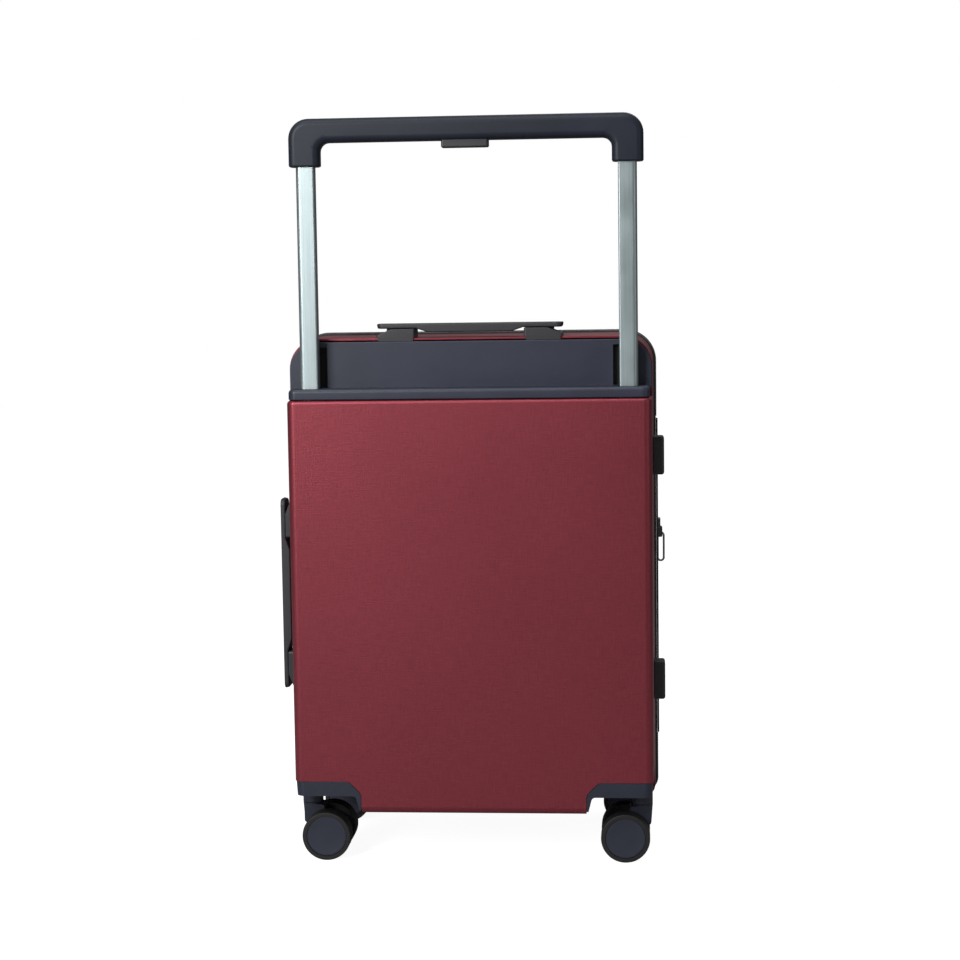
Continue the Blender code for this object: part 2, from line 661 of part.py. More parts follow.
# ---------------------------------------------------------------- feet and casters
def side_feet(body):
    """The two feet on the hinge side that the case lies on when it is put on that side."""
    for place, height in zip(("lower", "upper"), FOOT_Z):
        span = (height - FOOT_HEIGHT / 2, height + FOOT_HEIGHT / 2)
        foot = side_block("side_foot_" + place, 1, FOOT_Y, span, FOOT_OUT, 0.003)
        finish(foot, "dark", body)


def housing(name, side, end, body):
    """A corner moulding over one caster: an open arch, a hollow above, a boss for the swivel."""
    outer = end * (CASE_DEPTH / 2 - GAP)
    inner = end * (CASE_DEPTH / 2 - HOUSING_DEPTH)
    outline = [(0.1800, HOUSING_BOTTOM), (0.1818, HOUSING_TOP)]
    outline += housing_shoulder(HOUSING_TOP, HOUSING_INNER)
    outline += [(HOUSING_INNER, HOUSING_BOTTOM)]
    piece = plate(name, [mirrored(outline, side)], "Y", *sorted((outer, inner)))
    arch = [(0.2000, 0.03), (0.2000, ARCH_TOP), (0.1228, ARCH_TOP), (0.1198, ARCH_TOP - 0.0020),
            (0.1183, 0.0640), (0.1166, 0.0575), (0.1160, 0.03)]
    modify(piece, plate("arch", [mirrored(arch, side)], "Y",
                        *sorted((outer + end * 0.01, inner + end * 0.003))))
    hollow_x = sorted((side * 0.1300, side * 0.1775))
    hollow_y = sorted((outer - end * 0.003, inner + end * 0.003))
    modify(piece, box("hollow", (hollow_x[0], hollow_y[0], ARCH_TOP + 0.003),
                      (hollow_x[1], hollow_y[1], HOUSING_TOP + 0.01)))
    centre = (side * SWIVEL_X, end * SWIVEL_Y)
    modify(piece, cylinder("boss", BOSS_RADIUS, "Z", SWIVEL_SEAM, ARCH_TOP + 0.001, centre, 20),
           "UNION")
    modify(piece, cylinder("bore", 0.0042, "Z", SWIVEL_SEAM - 0.01, ARCH_TOP + 0.0015, centre, 12))
    finish(smooth(piece), "navy", body)


def caster(label, side, end, swivel, wheel_bodies):
    """A twin wheel caster, trailing inwards."""
    x = side * SWIVEL_X
    y = end * SWIVEL_Y
    hub_x = x - side * CASTER_TRAIL
    fork = cylinder("caster_fork_" + label, BOSS_RADIUS - 0.0018, "Z", FORK_BOTTOM,
                    SWIVEL_SEAM - GAP, (x, y), 20, BOSS_RADIUS)
    web = arc((CASTER_TRAIL, WHEEL_RADIUS), 0.0195, -125, 75, 8)
    web += [(0.0060, 0.0535), (-0.0080, 0.0535), (-0.0080, 0.0360)]
    web = [(x - side * a, b) for a, b in web]
    modify(fork, plate("web", [web], "Y", y - FORK_WEB / 2, y + FORK_WEB / 2), "UNION")
    modify(fork, cylinder("stem", 0.0038, "Z", 0.0500, ARCH_TOP, (x, y), 12), "UNION")
    for way in (-1, 1):
        reach = sorted((y + way * (FORK_WEB / 2 + 0.0005), y + way * 0.040))
        modify(fork, cylinder("wheel_room", WHEEL_RADIUS + 0.0013, "Y", *reach,
                              (hub_x, WHEEL_RADIUS), 24))
    modify(fork, cylinder("axle_hole", 0.0031, "Y", y - 0.02, y + 0.02, (hub_x, WHEEL_RADIUS), 12))
    finish(smooth(fork), "navy", swivel)
    near = FORK_WEB / 2 + 0.0007
    far = near + WHEEL_WIDTH
    bore_end = far - 0.0040
    axle = cylinder("caster_axle_" + label, 0.0028, "Y", y - bore_end + 0.0007,
                    y + bore_end - 0.0007, (hub_x, WHEEL_RADIUS), 12)
    finish(smooth(axle), "steel", swivel)
    profile = [(0, far - 0.0008), (0.0200, far - 0.0008), (0.0206, far), (0.0240, far),
               (WHEEL_RADIUS, far - 0.0010), (WHEEL_RADIUS, near + 0.0010), (0.0240, near),
               (0.0034, near), (0.0034, bore_end), (0, bore_end)]
    for (place, way), body in zip((("outer", end), ("inner", -end)), wheel_bodies):
        wheel = turned("wheel_%s_%s" % (label, place), profile, (hub_x, y, WHEEL_RADIUS), way)
        finish(wheel, "tyre", body)


# ---------------------------------------------------------------- the whole suitcase
def build():
    back = empty("suitcase", (0, 0, 0))
    band = empty("lid_hinge", (HINGE_X, MAIN_ZIP, 0.295), back)
    front = empty("expansion_slide", (0, EXPANSION_ZIP, 0.295), band)
    middle = empty("trolley_middle_slide", (0, TUBE_Y, LEDGE_TOP), back)
    inner = empty("trolley_inner_slide", (0, TUBE_Y, 0.600), middle)
    button = empty("grip_button_slide", (0, TUBE_Y, GRIP_TOP - GRIP_BAR), inner)
    top_lift = empty("top_handle_slide", (0, HANDLE_Y, TOP_HANDLE_TOP), back)
    side_lift = empty("side_handle_slide", (-SIDE_HANDLE_OUT, HANDLE_Y, SIDE_HANDLE_Z), back)
    lock_middle = (LOCK_Y[0] + LOCK_Y[1]) / 2
    dials = [empty("lock_dial_%d_turn" % n, (DIAL_X, lock_middle, z), back)
             for n, z in enumerate(DIAL_Z, 1)]
    lock_press = empty("lock_button_slide", (LOCK_OUT, lock_middle, sum(LOCK_BUTTON_Z) / 2), back)
    sliders = {place: empty("main_slider_%s_slide" % place, (-SLIDER_SEAT, MAIN_ZIP, height), back)
               for place, height in SLIDER_HEIGHTS.items()}
    slider = empty("expansion_slider_slide", (SLIDER_SEAT, EXPANSION_ZIP, EXPANSION_SLIDER_Z[0]), band)
    pull = empty("expansion_pull_hinge", (PULL_PIN[0], EXPANSION_ZIP, PULL_PIN[1]), slider)

    back_shell(back)
    shell("front_shell", 1, front)
    closures(back, band, front)
    linings(back, front)
    trolley_fixed(back)
    trolley_moving(middle, inner, button)
    handle_mount("top", -1, "top_handle_mount_left", back)
    handle_mount("top", 1, "top_handle_mount_right", back)
    handle_mount("side", -1, "side_handle_mount_lower", back)
    handle_mount("side", 1, "side_handle_mount_upper", back)
    handle("top", "top_handle", top_lift)
    handle("side", "side_handle", side_lift)
    lock(back, dials, lock_press)
    for place, height in SLIDER_HEIGHTS.items():
        main_slider("main_slider_" + place, height, sliders[place])
    expansion_pull(slider, pull)
    side_feet(back)
    for where, end, body in (("back", -1, back), ("front", 1, front)):
        for name, side in SIDES.items():
            label = where + "_" + name
            housing("wheel_housing_" + label, side, end, body)
            hub_x = side * (SWIVEL_X - CASTER_TRAIL)
            swivel = empty("caster_swivel_" + label, (side * SWIVEL_X, end * SWIVEL_Y, 0.065), body)
            spins = [empty("wheel_spin_%s_%s" % (label, place), (hub_x, end * SWIVEL_Y, WHEEL_RADIUS),
                           swivel) for place in ("outer", "inner")]
            caster(label, side, end, swivel, spins)


build()
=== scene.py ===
import math

import bmesh
import bpy
from mathutils import Matrix, Vector


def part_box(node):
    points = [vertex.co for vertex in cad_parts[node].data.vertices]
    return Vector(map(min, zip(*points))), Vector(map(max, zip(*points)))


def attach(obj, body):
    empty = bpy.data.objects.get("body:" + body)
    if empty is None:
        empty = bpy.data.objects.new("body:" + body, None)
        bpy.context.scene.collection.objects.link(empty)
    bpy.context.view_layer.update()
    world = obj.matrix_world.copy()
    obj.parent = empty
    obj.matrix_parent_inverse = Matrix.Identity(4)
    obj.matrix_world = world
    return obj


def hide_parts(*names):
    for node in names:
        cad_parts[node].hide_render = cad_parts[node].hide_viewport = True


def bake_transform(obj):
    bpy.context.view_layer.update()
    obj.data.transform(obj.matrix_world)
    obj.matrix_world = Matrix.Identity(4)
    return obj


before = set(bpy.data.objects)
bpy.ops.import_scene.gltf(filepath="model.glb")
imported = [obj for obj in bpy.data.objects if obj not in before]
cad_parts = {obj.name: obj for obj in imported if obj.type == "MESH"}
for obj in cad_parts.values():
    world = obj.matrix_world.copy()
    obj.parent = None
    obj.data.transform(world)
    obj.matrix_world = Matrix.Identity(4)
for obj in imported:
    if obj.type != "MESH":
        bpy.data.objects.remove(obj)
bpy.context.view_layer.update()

# ---------------------------------------------------------------- camera
# A long lens a little right of the case's middle and just above its top, turned slightly left
# and down, level with a standing viewer's hand.
EYE = (0.1720, -2.0984, 0.5851)
YAW, PITCH, ROLL = -0.0810, 0.0960, -0.0140

ahead = Vector((math.sin(YAW) * math.cos(PITCH), math.cos(YAW) * math.cos(PITCH), -math.sin(PITCH)))
level = Vector((math.cos(YAW), -math.sin(YAW), 0))
raised = level.cross(ahead)
across = level * math.cos(ROLL) + raised * math.sin(ROLL)
upward = raised * math.cos(ROLL) - level * math.sin(ROLL)
camera = bpy.data.objects.new("camera", bpy.data.cameras.new("camera"))
bpy.context.scene.collection.objects.link(camera)
camera.data.lens = 75
camera.data.sensor_width = 36
camera.matrix_world = Matrix.Translation(EYE) @ Matrix((across, upward, -ahead)).transposed().to_4x4()
bpy.context.scene.camera = camera
bpy.context.scene.view_settings.view_transform = "Standard"

# ---------------------------------------------------------------- floor and light
# A pale floor and a white backdrop in a dark studio, and softboxes: a tall key on the left, behind
# the camera, weaker ones on the right and overhead, and a low one behind for the rims.
FLOOR_SIZE = 16
FLOOR_COLOUR = (0.30, 0.30, 0.30)
FLOOR_GLOW = 0.94             # seen by the camera only, so that the floor stays pale
SEEN_WHITE = 1.0
SURROUND = (0.07, 0.34)       # at the sides and overhead
SOFTBOXES = {
    "key_left": ((-1.15, -2.05, 1.30), (0.9, 1.3), 57.0),
    "fill_right": ((2.0, -1.2, 0.9), (0.9, 1.4), 4.0),
    "overhead": ((-0.2, -0.7, 2.2), (1.6, 1.0), 16.0),
    "rim_behind": ((0.5, 1.7, 2.4), (1.4, 1.0), 8.0),
}
LIGHT_TARGET = Vector((0.0, 0.0, 0.34))

bpy.ops.mesh.primitive_plane_add(size=FLOOR_SIZE)
floor = bpy.context.active_object
floor.name = "floor"
floor_paint = bpy.data.materials.new("floor_paint")
floor_paint.use_nodes = True
floor_tree = floor_paint.node_tree
floor_shader = floor_tree.nodes["Principled BSDF"]
floor_shader.inputs["Base Color"].default_value = (*FLOOR_COLOUR, 1)
floor_shader.inputs["Roughness"].default_value = 0.9
floor_shader.inputs["Emission Color"].default_value = (1, 1, 1, 1)
seen = floor_tree.nodes.new("ShaderNodeLightPath")
glow = floor_tree.nodes.new("ShaderNodeMath")
glow.operation = "MULTIPLY"
glow.inputs[1].default_value = FLOOR_GLOW
floor_tree.links.new(seen.outputs["Is Camera Ray"], glow.inputs[0])
floor_tree.links.new(glow.outputs[0], floor_shader.inputs["Emission Strength"])
floor.data.materials.append(floor_paint)

for label, (place, size, power) in SOFTBOXES.items():
    lamp = bpy.data.lights.new(label, "AREA")
    lamp.shape = "RECTANGLE"
    lamp.size, lamp.size_y = size
    lamp.energy = power
    stand = bpy.data.objects.new(label, lamp)
    bpy.context.scene.collection.objects.link(stand)
    stand.location = place
    stand.rotation_euler = (LIGHT_TARGET - Vector(place)).to_track_quat("-Z", "Y").to_euler()

world = bpy.data.worlds.new("studio")
bpy.context.scene.world = world
world.use_nodes = True
sky = world.node_tree
rays = sky.nodes.new("ShaderNodeLightPath")
level_mix = sky.nodes.new("ShaderNodeMix")
level_mix.inputs["B"].default_value = SEEN_WHITE
way_out = sky.nodes.new("ShaderNodeTexCoord")
height = sky.nodes.new("ShaderNodeSeparateXYZ")
ceiling = sky.nodes.new("ShaderNodeMapRange")
ceiling.inputs["To Min"].default_value, ceiling.inputs["To Max"].default_value = SURROUND
sky.links.new(way_out.outputs["Generated"], height.inputs["Vector"])
sky.links.new(height.outputs["Z"], ceiling.inputs["Value"])
sky.links.new(ceiling.outputs["Result"], level_mix.inputs["A"])
sky.links.new(rays.outputs["Is Camera Ray"], level_mix.inputs["Factor"])
sky.links.new(level_mix.outputs["Result"], sky.nodes["Background"].inputs["Strength"])
sky.nodes["Background"].inputs["Color"].default_value = (1, 1, 1, 1)

# ---------------------------------------------------------------- the two moulded shells
# Thin polycarbonate trays, vacuum formed with a fine linen emboss and sprayed in a satin metallic
# red. The back one is notched at its top for the trolley's moulding, and its face rolls in there.
FACE_HALF = 0.1825            # at the faces; the walls lean out to the rims
FACE_TOP = 0.5345
WALL = 0.002
CORNER_RADIUS = 0.030
LOWER_RADIUS = 0.012
EDGE_RADIUS = 0.008
ROLL_RADIUS = 0.0038
CUT_EDGE = 0.0003
NOTCH_CLEAR = 0.0033
HOUSING_CLEAR = 0.0003
CHAMFER = 0.0125              # of the housings' upper inner corners
SHELL_RED = (0.248, 0.036, 0.051)
SHELL_RED_SHADE = (0.176, 0.025, 0.037)
AXES = "XYZ"


def deselect():
    if bpy.context.object and bpy.context.object.mode != "OBJECT":
        bpy.ops.object.mode_set(mode="OBJECT")
    bpy.ops.object.select_all(action="DESELECT")


def take(piece):
    """Makes one piece the only selected and the active one."""
    deselect()
    piece.select_set(True)
    bpy.context.view_layer.objects.active = piece
    return piece


def settle(name):
    """Names the primitive that was just added and puts its place and size into its mesh."""
    piece = bpy.context.active_object
    piece.name = piece.data.name = name
    bpy.ops.object.transform_apply(location=True, rotation=True, scale=True)
    return piece


def block(name, low, high):
    """A cube between two corners."""
    deselect()
    middle = [(a + b) / 2 for a, b in zip(low, high)]
    bpy.ops.mesh.primitive_cube_add(size=1, location=middle, scale=[b - a for a, b in zip(low, high)])
    return settle(name)


def drum(name, radius, axis, low, high, centre, sides=48):
    """A cylinder along an axis, from low to high, centred in the other two axes."""
    deselect()
    turn = {"X": (0, math.pi / 2, 0), "Y": (math.pi / 2, 0, 0), "Z": (0, 0, 0)}[axis]
    place = list(centre)
    place.insert(AXES.index(axis), (low + high) / 2)
    bpy.ops.mesh.primitive_cylinder_add(vertices=sides, radius=radius, depth=high - low,
                                        location=place, rotation=turn)
    return settle(name)


def pick(piece, kind, test):
    """Opens a piece in edit mode with only the faces, edges or vertices that pass a test selected."""
    take(piece)
    bpy.ops.object.mode_set(mode="EDIT")
    bpy.ops.mesh.select_mode(type=kind)
    bpy.ops.mesh.select_all(action="DESELECT")
    cage = bmesh.from_edit_mesh(piece.data)
    cage.normal_update()
    for part in {"VERT": cage.verts, "EDGE": cage.edges, "FACE": cage.faces}[kind]:
        if test(part):
            part.select_set(True)
    cage.select_flush_mode()
    bmesh.update_edit_mesh(piece.data)


def close():
    bpy.ops.object.mode_set(mode="OBJECT")


def at(part, axis, value):
    """Whether an edge or face lies wholly at one place along an axis."""
    return all(abs(v.co["XYZ".index(axis)] - value) < 1e-5 for v in part.verts)


def runs(edge, axis):
    """Whether an edge runs along an axis, or nearly."""
    way = edge.verts[1].co - edge.verts[0].co
    return abs(way["XYZ".index(axis)]) > 0.95 * way.length


def middle_of(part):
    total = Vector((0, 0, 0))
    for vert in part.verts:
        total += vert.co
    return total / len(part.verts)


def soften(piece, test, width, segments=3, clamp=True):
    """Rounds the edges that pass a test, or cuts them to a chamfer with one segment."""
    pick(piece, "EDGE", test)
    bpy.ops.mesh.bevel(offset=width, offset_type="OFFSET", segments=segments, profile=0.5,
                       affect="EDGES", clamp_overlap=clamp)
    close()
    return piece


def drop_faces(piece, test):
    pick(piece, "FACE", test)
    bpy.ops.mesh.delete(type="ONLY_FACE")
    close()
    return piece


def applied(piece, kind, **settings):
    """Adds a modifier, sets it and applies it."""
    take(piece)
    change = piece.modifiers.new(kind.lower(), kind)
    for setting, value in settings.items():
        setattr(change, setting, value)
    bpy.ops.object.modifier_apply(modifier=change.name)
    return piece


def cut(piece, tool, operation="DIFFERENCE"):
    """Cuts a piece with a tool, or joins the tool to it, and takes the tool away."""
    applied(piece, "BOOLEAN", object=tool, operation=operation, solver="EXACT")
    bpy.data.objects.remove(tool)
    return piece


def ease(piece, width, segments=2, angle=40):
    """Takes the sharpness off every edge that turns by more than an angle."""
    return applied(piece, "BEVEL", width=width, segments=segments, limit_method="ANGLE",
                   angle_limit=math.radians(angle), use_clamp_overlap=True,
                   harden_normals=False)


def copy_of(piece, name, move=(0, 0, 0), flip="", turn=None):
    """A copy with its own mesh, moved, mirrored across the named planes, or turned."""
    take(piece)
    bpy.ops.object.duplicate()
    twin = bpy.context.active_object
    twin.scale = [-1 if axis in flip else 1 for axis in AXES]
    if turn:
        twin.rotation_euler = turn
    twin.location = move
    settle(name)
    if len(flip) % 2:
        bpy.ops.object.mode_set(mode="EDIT")
        bpy.ops.mesh.select_all(action="SELECT")
        bpy.ops.mesh.flip_normals()
        close()
    return twin


def hand_over(piece, body, slot, finish, *nodes, angle=35, weighted=True):
    """Shades a finished piece, gives it its material, and hangs it on its body."""
    take(piece)
    bpy.ops.object.shade_smooth_by_angle(angle=math.radians(angle))
    if weighted:
        applied(piece, "WEIGHTED_NORMAL", keep_sharp=True, weight=80)
    piece.data.materials.clear()
    piece.data.materials.append(finish)
    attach(piece, body)
    if nodes:
        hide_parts(*nodes)
    return piece


def add(tree, kind, **settings):
    """A node in a tree. Settings in capitals set its sockets, by name with spaces as underscores."""
    node = tree.nodes.new("ShaderNode" + kind)
    for setting, value in settings.items():
        if setting[0].isupper():
            node.inputs[setting.replace("_", " ")].default_value = value
        else:
            setattr(node, setting, value)
    return node


def new_group(name, sockets, outputs):
    """An empty node group with number and colour sockets; returns its tree, input and output."""
    tree = bpy.data.node_groups.new(name, "ShaderNodeTree")
    for label, value in sockets.items():
        kind = "NodeSocketColor" if isinstance(value, tuple) else "NodeSocketFloat"
        made = tree.interface.new_socket(label, in_out="INPUT", socket_type=kind)
        made.default_value = value
    for label, kind in outputs.items():
        tree.interface.new_socket(label, in_out="OUTPUT", socket_type="NodeSocket" + kind)
    return tree, tree.nodes.new("NodeGroupInput"), tree.nodes.new("NodeGroupOutput")


def place_group(tree, group, **values):
    node = tree.nodes.new("ShaderNodeGroup")
    node.node_tree = group
    for socket, value in values.items():
        node.inputs[socket.replace("_", " ")].default_value = value
    return node


def new_finish(name, **sockets):
    """A material; the sockets given are constants on its shader. Returns it, its tree and shader."""
    finish = bpy.data.materials.new(name)
    finish.use_nodes = True
    shader = finish.node_tree.nodes["Principled BSDF"]
    for socket, value in sockets.items():
        shader.inputs[socket.replace("_", " ")].default_value = value
    return finish, finish.node_tree, shader


def make_weave():
    """Threads along all three axes, each uneven along its length, as a bump and a height mask."""
    tree, inputs, outputs = new_group(
        "thread_weave", {"Count": 1000.0, "Slub": 60.0, "Depth": 0.0002, "Strength": 0.3},
        {"Mask": "Float", "Normal": "Vector"})
    place = add(tree, "TexCoord")
    heights = []
    for axis in range(3):
        stretch = tree.nodes.new("ShaderNodeCombineXYZ")
        for k in range(3):
            source = "Slub" if k == axis else "Count"
            tree.links.new(inputs.outputs[source], stretch.inputs[k])
        scaled = add(tree, "VectorMath", operation="MULTIPLY")
        tree.links.new(place.outputs["Object"], scaled.inputs[0])
        tree.links.new(stretch.outputs[0], scaled.inputs[1])
        threads = add(tree, "TexNoise", Scale=1.0, Detail=1.0, Roughness=0.5)
        tree.links.new(scaled.outputs[0], threads.inputs["Vector"])
        heights.append(threads.outputs["Fac"])
    pair = add(tree, "Math", operation="ADD")
    tree.links.new(heights[0], pair.inputs[0])
    tree.links.new(heights[2], pair.inputs[1])
    total = add(tree, "Math", operation="MULTIPLY_ADD")
    total.inputs[1].default_value = 0.6
    tree.links.new(heights[1], total.inputs[0])
    tree.links.new(pair.outputs[0], total.inputs[2])
    mask = add(tree, "MapRange", From_Min=1.0, From_Max=1.6)
    tree.links.new(total.outputs[0], mask.inputs["Value"])
    bump = add(tree, "Bump")
    tree.links.new(inputs.outputs["Strength"], bump.inputs["Strength"])
    tree.links.new(inputs.outputs["Depth"], bump.inputs["Distance"])
    tree.links.new(mask.outputs["Result"], bump.inputs["Height"])
    tree.links.new(mask.outputs["Result"], outputs.inputs["Mask"])
    tree.links.new(bump.outputs["Normal"], outputs.inputs["Normal"])
    return tree


thread_weave = make_weave()


def red_finish():
    """Metallic lacquer over an embossed sheet: threads show as a faint cross-hatch in its gloss."""
    finish, tree, shader = new_finish("shell_red_lacquer", Metallic=0.72, Coat_Weight=0.18,
                                      Coat_Roughness=0.35, Coat_IOR=1.45)
    linen = place_group(tree, thread_weave, Count=950.0, Slub=70.0, Depth=0.00012, Strength=0.38)
    cloud = add(tree, "TexNoise", Scale=7.0, Detail=3.0)
    tint = add(tree, "Mix", data_type="RGBA", blend_type="MIX", clamp_factor=True)
    tint.inputs["A"].default_value = (*SHELL_RED, 1)
    tint.inputs["B"].default_value = (*SHELL_RED_SHADE, 1)
    amount = add(tree, "Math", operation="MULTIPLY")
    amount.inputs[1].default_value = 0.55
    tree.links.new(linen.outputs["Mask"], amount.inputs[0])
    tree.links.new(amount.outputs[0], tint.inputs["Factor"])
    gloss = add(tree, "MapRange", To_Min=0.36, To_Max=0.46)
    place = add(tree, "TexCoord")
    tree.links.new(place.outputs["Object"], cloud.inputs["Vector"])
    tree.links.new(cloud.outputs["Fac"], gloss.inputs["Value"])
    tree.links.new(tint.outputs["Result"], shader.inputs["Base Color"])
    tree.links.new(gloss.outputs["Result"], shader.inputs["Roughness"])
    tree.links.new(linen.outputs["Normal"], shader.inputs["Normal"])
    return finish


shell_red = red_finish()


cut_mark = bpy.data.materials.new("cut_mark")


def marked_cut(piece, tool):
    """Cuts a closed piece and leaves the new faces with a material index of their own."""
    tool.data.materials.append(cut_mark)
    applied(piece, "BOOLEAN", object=tool, operation="DIFFERENCE", solver="EXACT",
            material_mode="TRANSFER")
    bpy.data.objects.remove(tool)


def housing_tool(node, end, way, clear):
    """The room that a wheel housing takes up in a shell's corner."""
    low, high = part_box(node)
    inner = (low.x if way > 0 else high.x) - way * clear
    deep = (high.y if end < 0 else low.y) - end * clear
    x, y = sorted((inner, way * 0.2)), sorted((deep, end * 0.14))
    tool = block("corner", (x[0], y[0], 0.03), (x[1], y[1], high.z + clear))
    soften(tool, lambda e: at(e, "X", inner) and at(e, "Z", high.z + clear), CHAMFER, 1)
    return soften(tool, lambda e: runs(e, "Y") and middle_of(e).z > 0.06
                  and abs(middle_of(e).x) < 0.15, 0.003, 3)


def case_half(name, node, end, notch=None):
    """One tray. end is -1 for the back half and 1 for the front half."""
    low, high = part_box(node)
    face, rim = (low.y, high.y) if end < 0 else (high.y, low.y)
    bottom = low.z
    half = block(name, (-FACE_HALF, low.y, bottom), (FACE_HALF, high.y, FACE_TOP))
    pick(half, "FACE", lambda f: at(f, "Y", rim))
    grow = (high.x / FACE_HALF, 1, (high.z - bottom) / (FACE_TOP - bottom))
    bpy.ops.transform.resize(value=grow, center_override=(0, rim, bottom))
    close()
    soften(half, lambda e: runs(e, "Y") and middle_of(e).z > 0.5, CORNER_RADIUS, 14)
    soften(half, lambda e: runs(e, "Y") and middle_of(e).z < bottom + 1e-4, LOWER_RADIUS, 8)
    soften(half, lambda e: at(e, "Y", face), EDGE_RADIUS, 8)
    half.data.materials.append(shell_red)
    if notch:
        depth, height = notch
        marked_cut(half, block("notch", (-0.2, face - 0.01, height), (0.2, depth, 0.56)))
        soften(half, lambda e: at(e, "Z", height) and middle_of(e).y < depth - 1e-5, ROLL_RADIUS, 5)
        drop_faces(half, lambda f: at(f, "Z", height) or at(f, "Y", depth))
    for side, way in (("left", -1), ("right", 1)):
        housing_node = "wheel_housing_%s_%s" % ("back" if end < 0 else "front", side)
        marked_cut(half, housing_tool(housing_node, end, way, HOUSING_CLEAR))
    drop_faces(half, lambda f: at(f, "Y", rim) or (f.material_index > 0 and middle_of(f).z < 0.1))
    applied(half, "SOLIDIFY", thickness=WALL, offset=-1, use_even_offset=True)
    return ease(half, CUT_EDGE, 2, 60)


back_low, back_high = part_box("back_shell")
bezel_low, bezel_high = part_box("trolley_bezel")
POCKET_DEPTH = 0.011          # behind the front of the moulding's upright panel
panel_front = bezel_high.y - POCKET_DEPTH
shell_notch = (panel_front + NOTCH_CLEAR, bezel_low.z - 0.0004)

back_shell = case_half("back_shell_skin", "back_shell", -1, shell_notch)
SLOT_FROM_END = (0.0343, 0.0087)
SLOT_HALF = 0.0048
for which, along, out in (("top_handle", "x", "z"), ("side_handle", "z", "x")):
    handle_low, handle_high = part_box(which)
    handle_y = (handle_low.y + handle_high.y) / 2
    for way in (-1, 1):
        end = getattr(handle_high if way > 0 else handle_low, along)
        span = sorted(end - way * inset for inset in SLOT_FROM_END)
        if out == "z":
            low, high = (span[0], handle_y - SLOT_HALF, 0.52), (span[1], handle_y + SLOT_HALF, 0.56)
        else:
            low, high = (-0.2, handle_y - SLOT_HALF, span[0]), (-0.17, handle_y + SLOT_HALF, span[1])
        cut(back_shell, block("slot", low, high))
LOCK_CLEAR = 0.0003
lock_low, lock_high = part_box("lock_body")
window = block("window", (-0.2, lock_low.y - LOCK_CLEAR, lock_low.z - LOCK_CLEAR),
               (-0.17, lock_high.y + LOCK_CLEAR, lock_high.z + LOCK_CLEAR))
cut(back_shell, soften(window, lambda e: runs(e, "X"), 0.0033, 4))
front_shell = case_half("front_shell_skin", "front_shell", 1)
hand_over(back_shell, "case_back", "shell_red", shell_red, "back_shell")
hand_over(front_shell, "case_front", "shell_red", shell_red, "front_shell")

# ---------------------------------------------------------------- trolley moulding
# One injection moulding in navy: a ledge that caps the red face, an upright panel set back above
# it, and two open pockets beside the tubes. It is screwed to the shell from inside.
PANEL_THICK = 0.003
PANEL_RADIUS = 0.028
PANEL_LAP = 0.0018            # over the cut edges of the shell's sides
PANEL_EDGE = 0.0009
LEDGE_END_RADIUS = 0.008
LEDGE_EDGE = 0.0042
CREASE = 0.0030
POCKET_INNER = 0.1442
POCKET_OUTER = 0.1692
POCKET_TOP = 0.5268
POCKET_CHAMFER = 0.0085
TUBE_HALF = (0.0093, 0.0070)  # of the drawn stage, across and deep
STAGE_STEP = 0.0015
SOFT_CORNER = 0.0048
TIGHT_CORNER = 0.0016
TUBE_CLEAR = 0.0003
NAVY = (0.020, 0.024, 0.042)
NAVY_WORN = (0.050, 0.056, 0.084)


def make_grain():
    """A spark-eroded mould's fine grain, with broad faint patches of more and less gloss."""
    tree, inputs, outputs = new_group(
        "moulded_grain", {"Colour": (0.05, 0.05, 0.05, 1), "Rough": 0.5, "Spread": 0.08,
                          "Grain": 1500.0, "Depth": 0.00006, "Strength": 0.4},
        {"Colour": "Color", "Roughness": "Float", "Normal": "Vector"})
    place = add(tree, "TexCoord")
    grain = add(tree, "TexNoise", Detail=2.0, Roughness=0.6)
    cloud = add(tree, "TexNoise", Scale=22.0, Detail=4.0, Roughness=0.55)
    for texture in (grain, cloud):
        tree.links.new(place.outputs["Object"], texture.inputs["Vector"])
    tree.links.new(inputs.outputs["Grain"], grain.inputs["Scale"])
    bump = add(tree, "Bump")
    tree.links.new(inputs.outputs["Strength"], bump.inputs["Strength"])
    tree.links.new(inputs.outputs["Depth"], bump.inputs["Distance"])
    tree.links.new(grain.outputs["Fac"], bump.inputs["Height"])
    tree.links.new(bump.outputs["Normal"], outputs.inputs["Normal"])
    centred = add(tree, "Math", operation="SUBTRACT")
    centred.inputs[1].default_value = 0.5
    tree.links.new(cloud.outputs["Fac"], centred.inputs[0])
    gloss = add(tree, "Math", operation="MULTIPLY_ADD")
    tree.links.new(centred.outputs[0], gloss.inputs[0])
    tree.links.new(inputs.outputs["Spread"], gloss.inputs[1])
    tree.links.new(inputs.outputs["Rough"], gloss.inputs[2])
    tree.links.new(gloss.outputs[0], outputs.inputs["Roughness"])
    shade = add(tree, "MapRange", From_Min=0.3, From_Max=0.7, To_Min=0.86, To_Max=1.12)
    tree.links.new(cloud.outputs["Fac"], shade.inputs["Value"])
    tint = add(tree, "VectorMath", operation="SCALE")
    tree.links.new(inputs.outputs["Colour"], tint.inputs[0])
    tree.links.new(shade.outputs["Result"], tint.inputs["Scale"])
    tree.links.new(tint.outputs["Vector"], outputs.inputs["Colour"])
    return tree


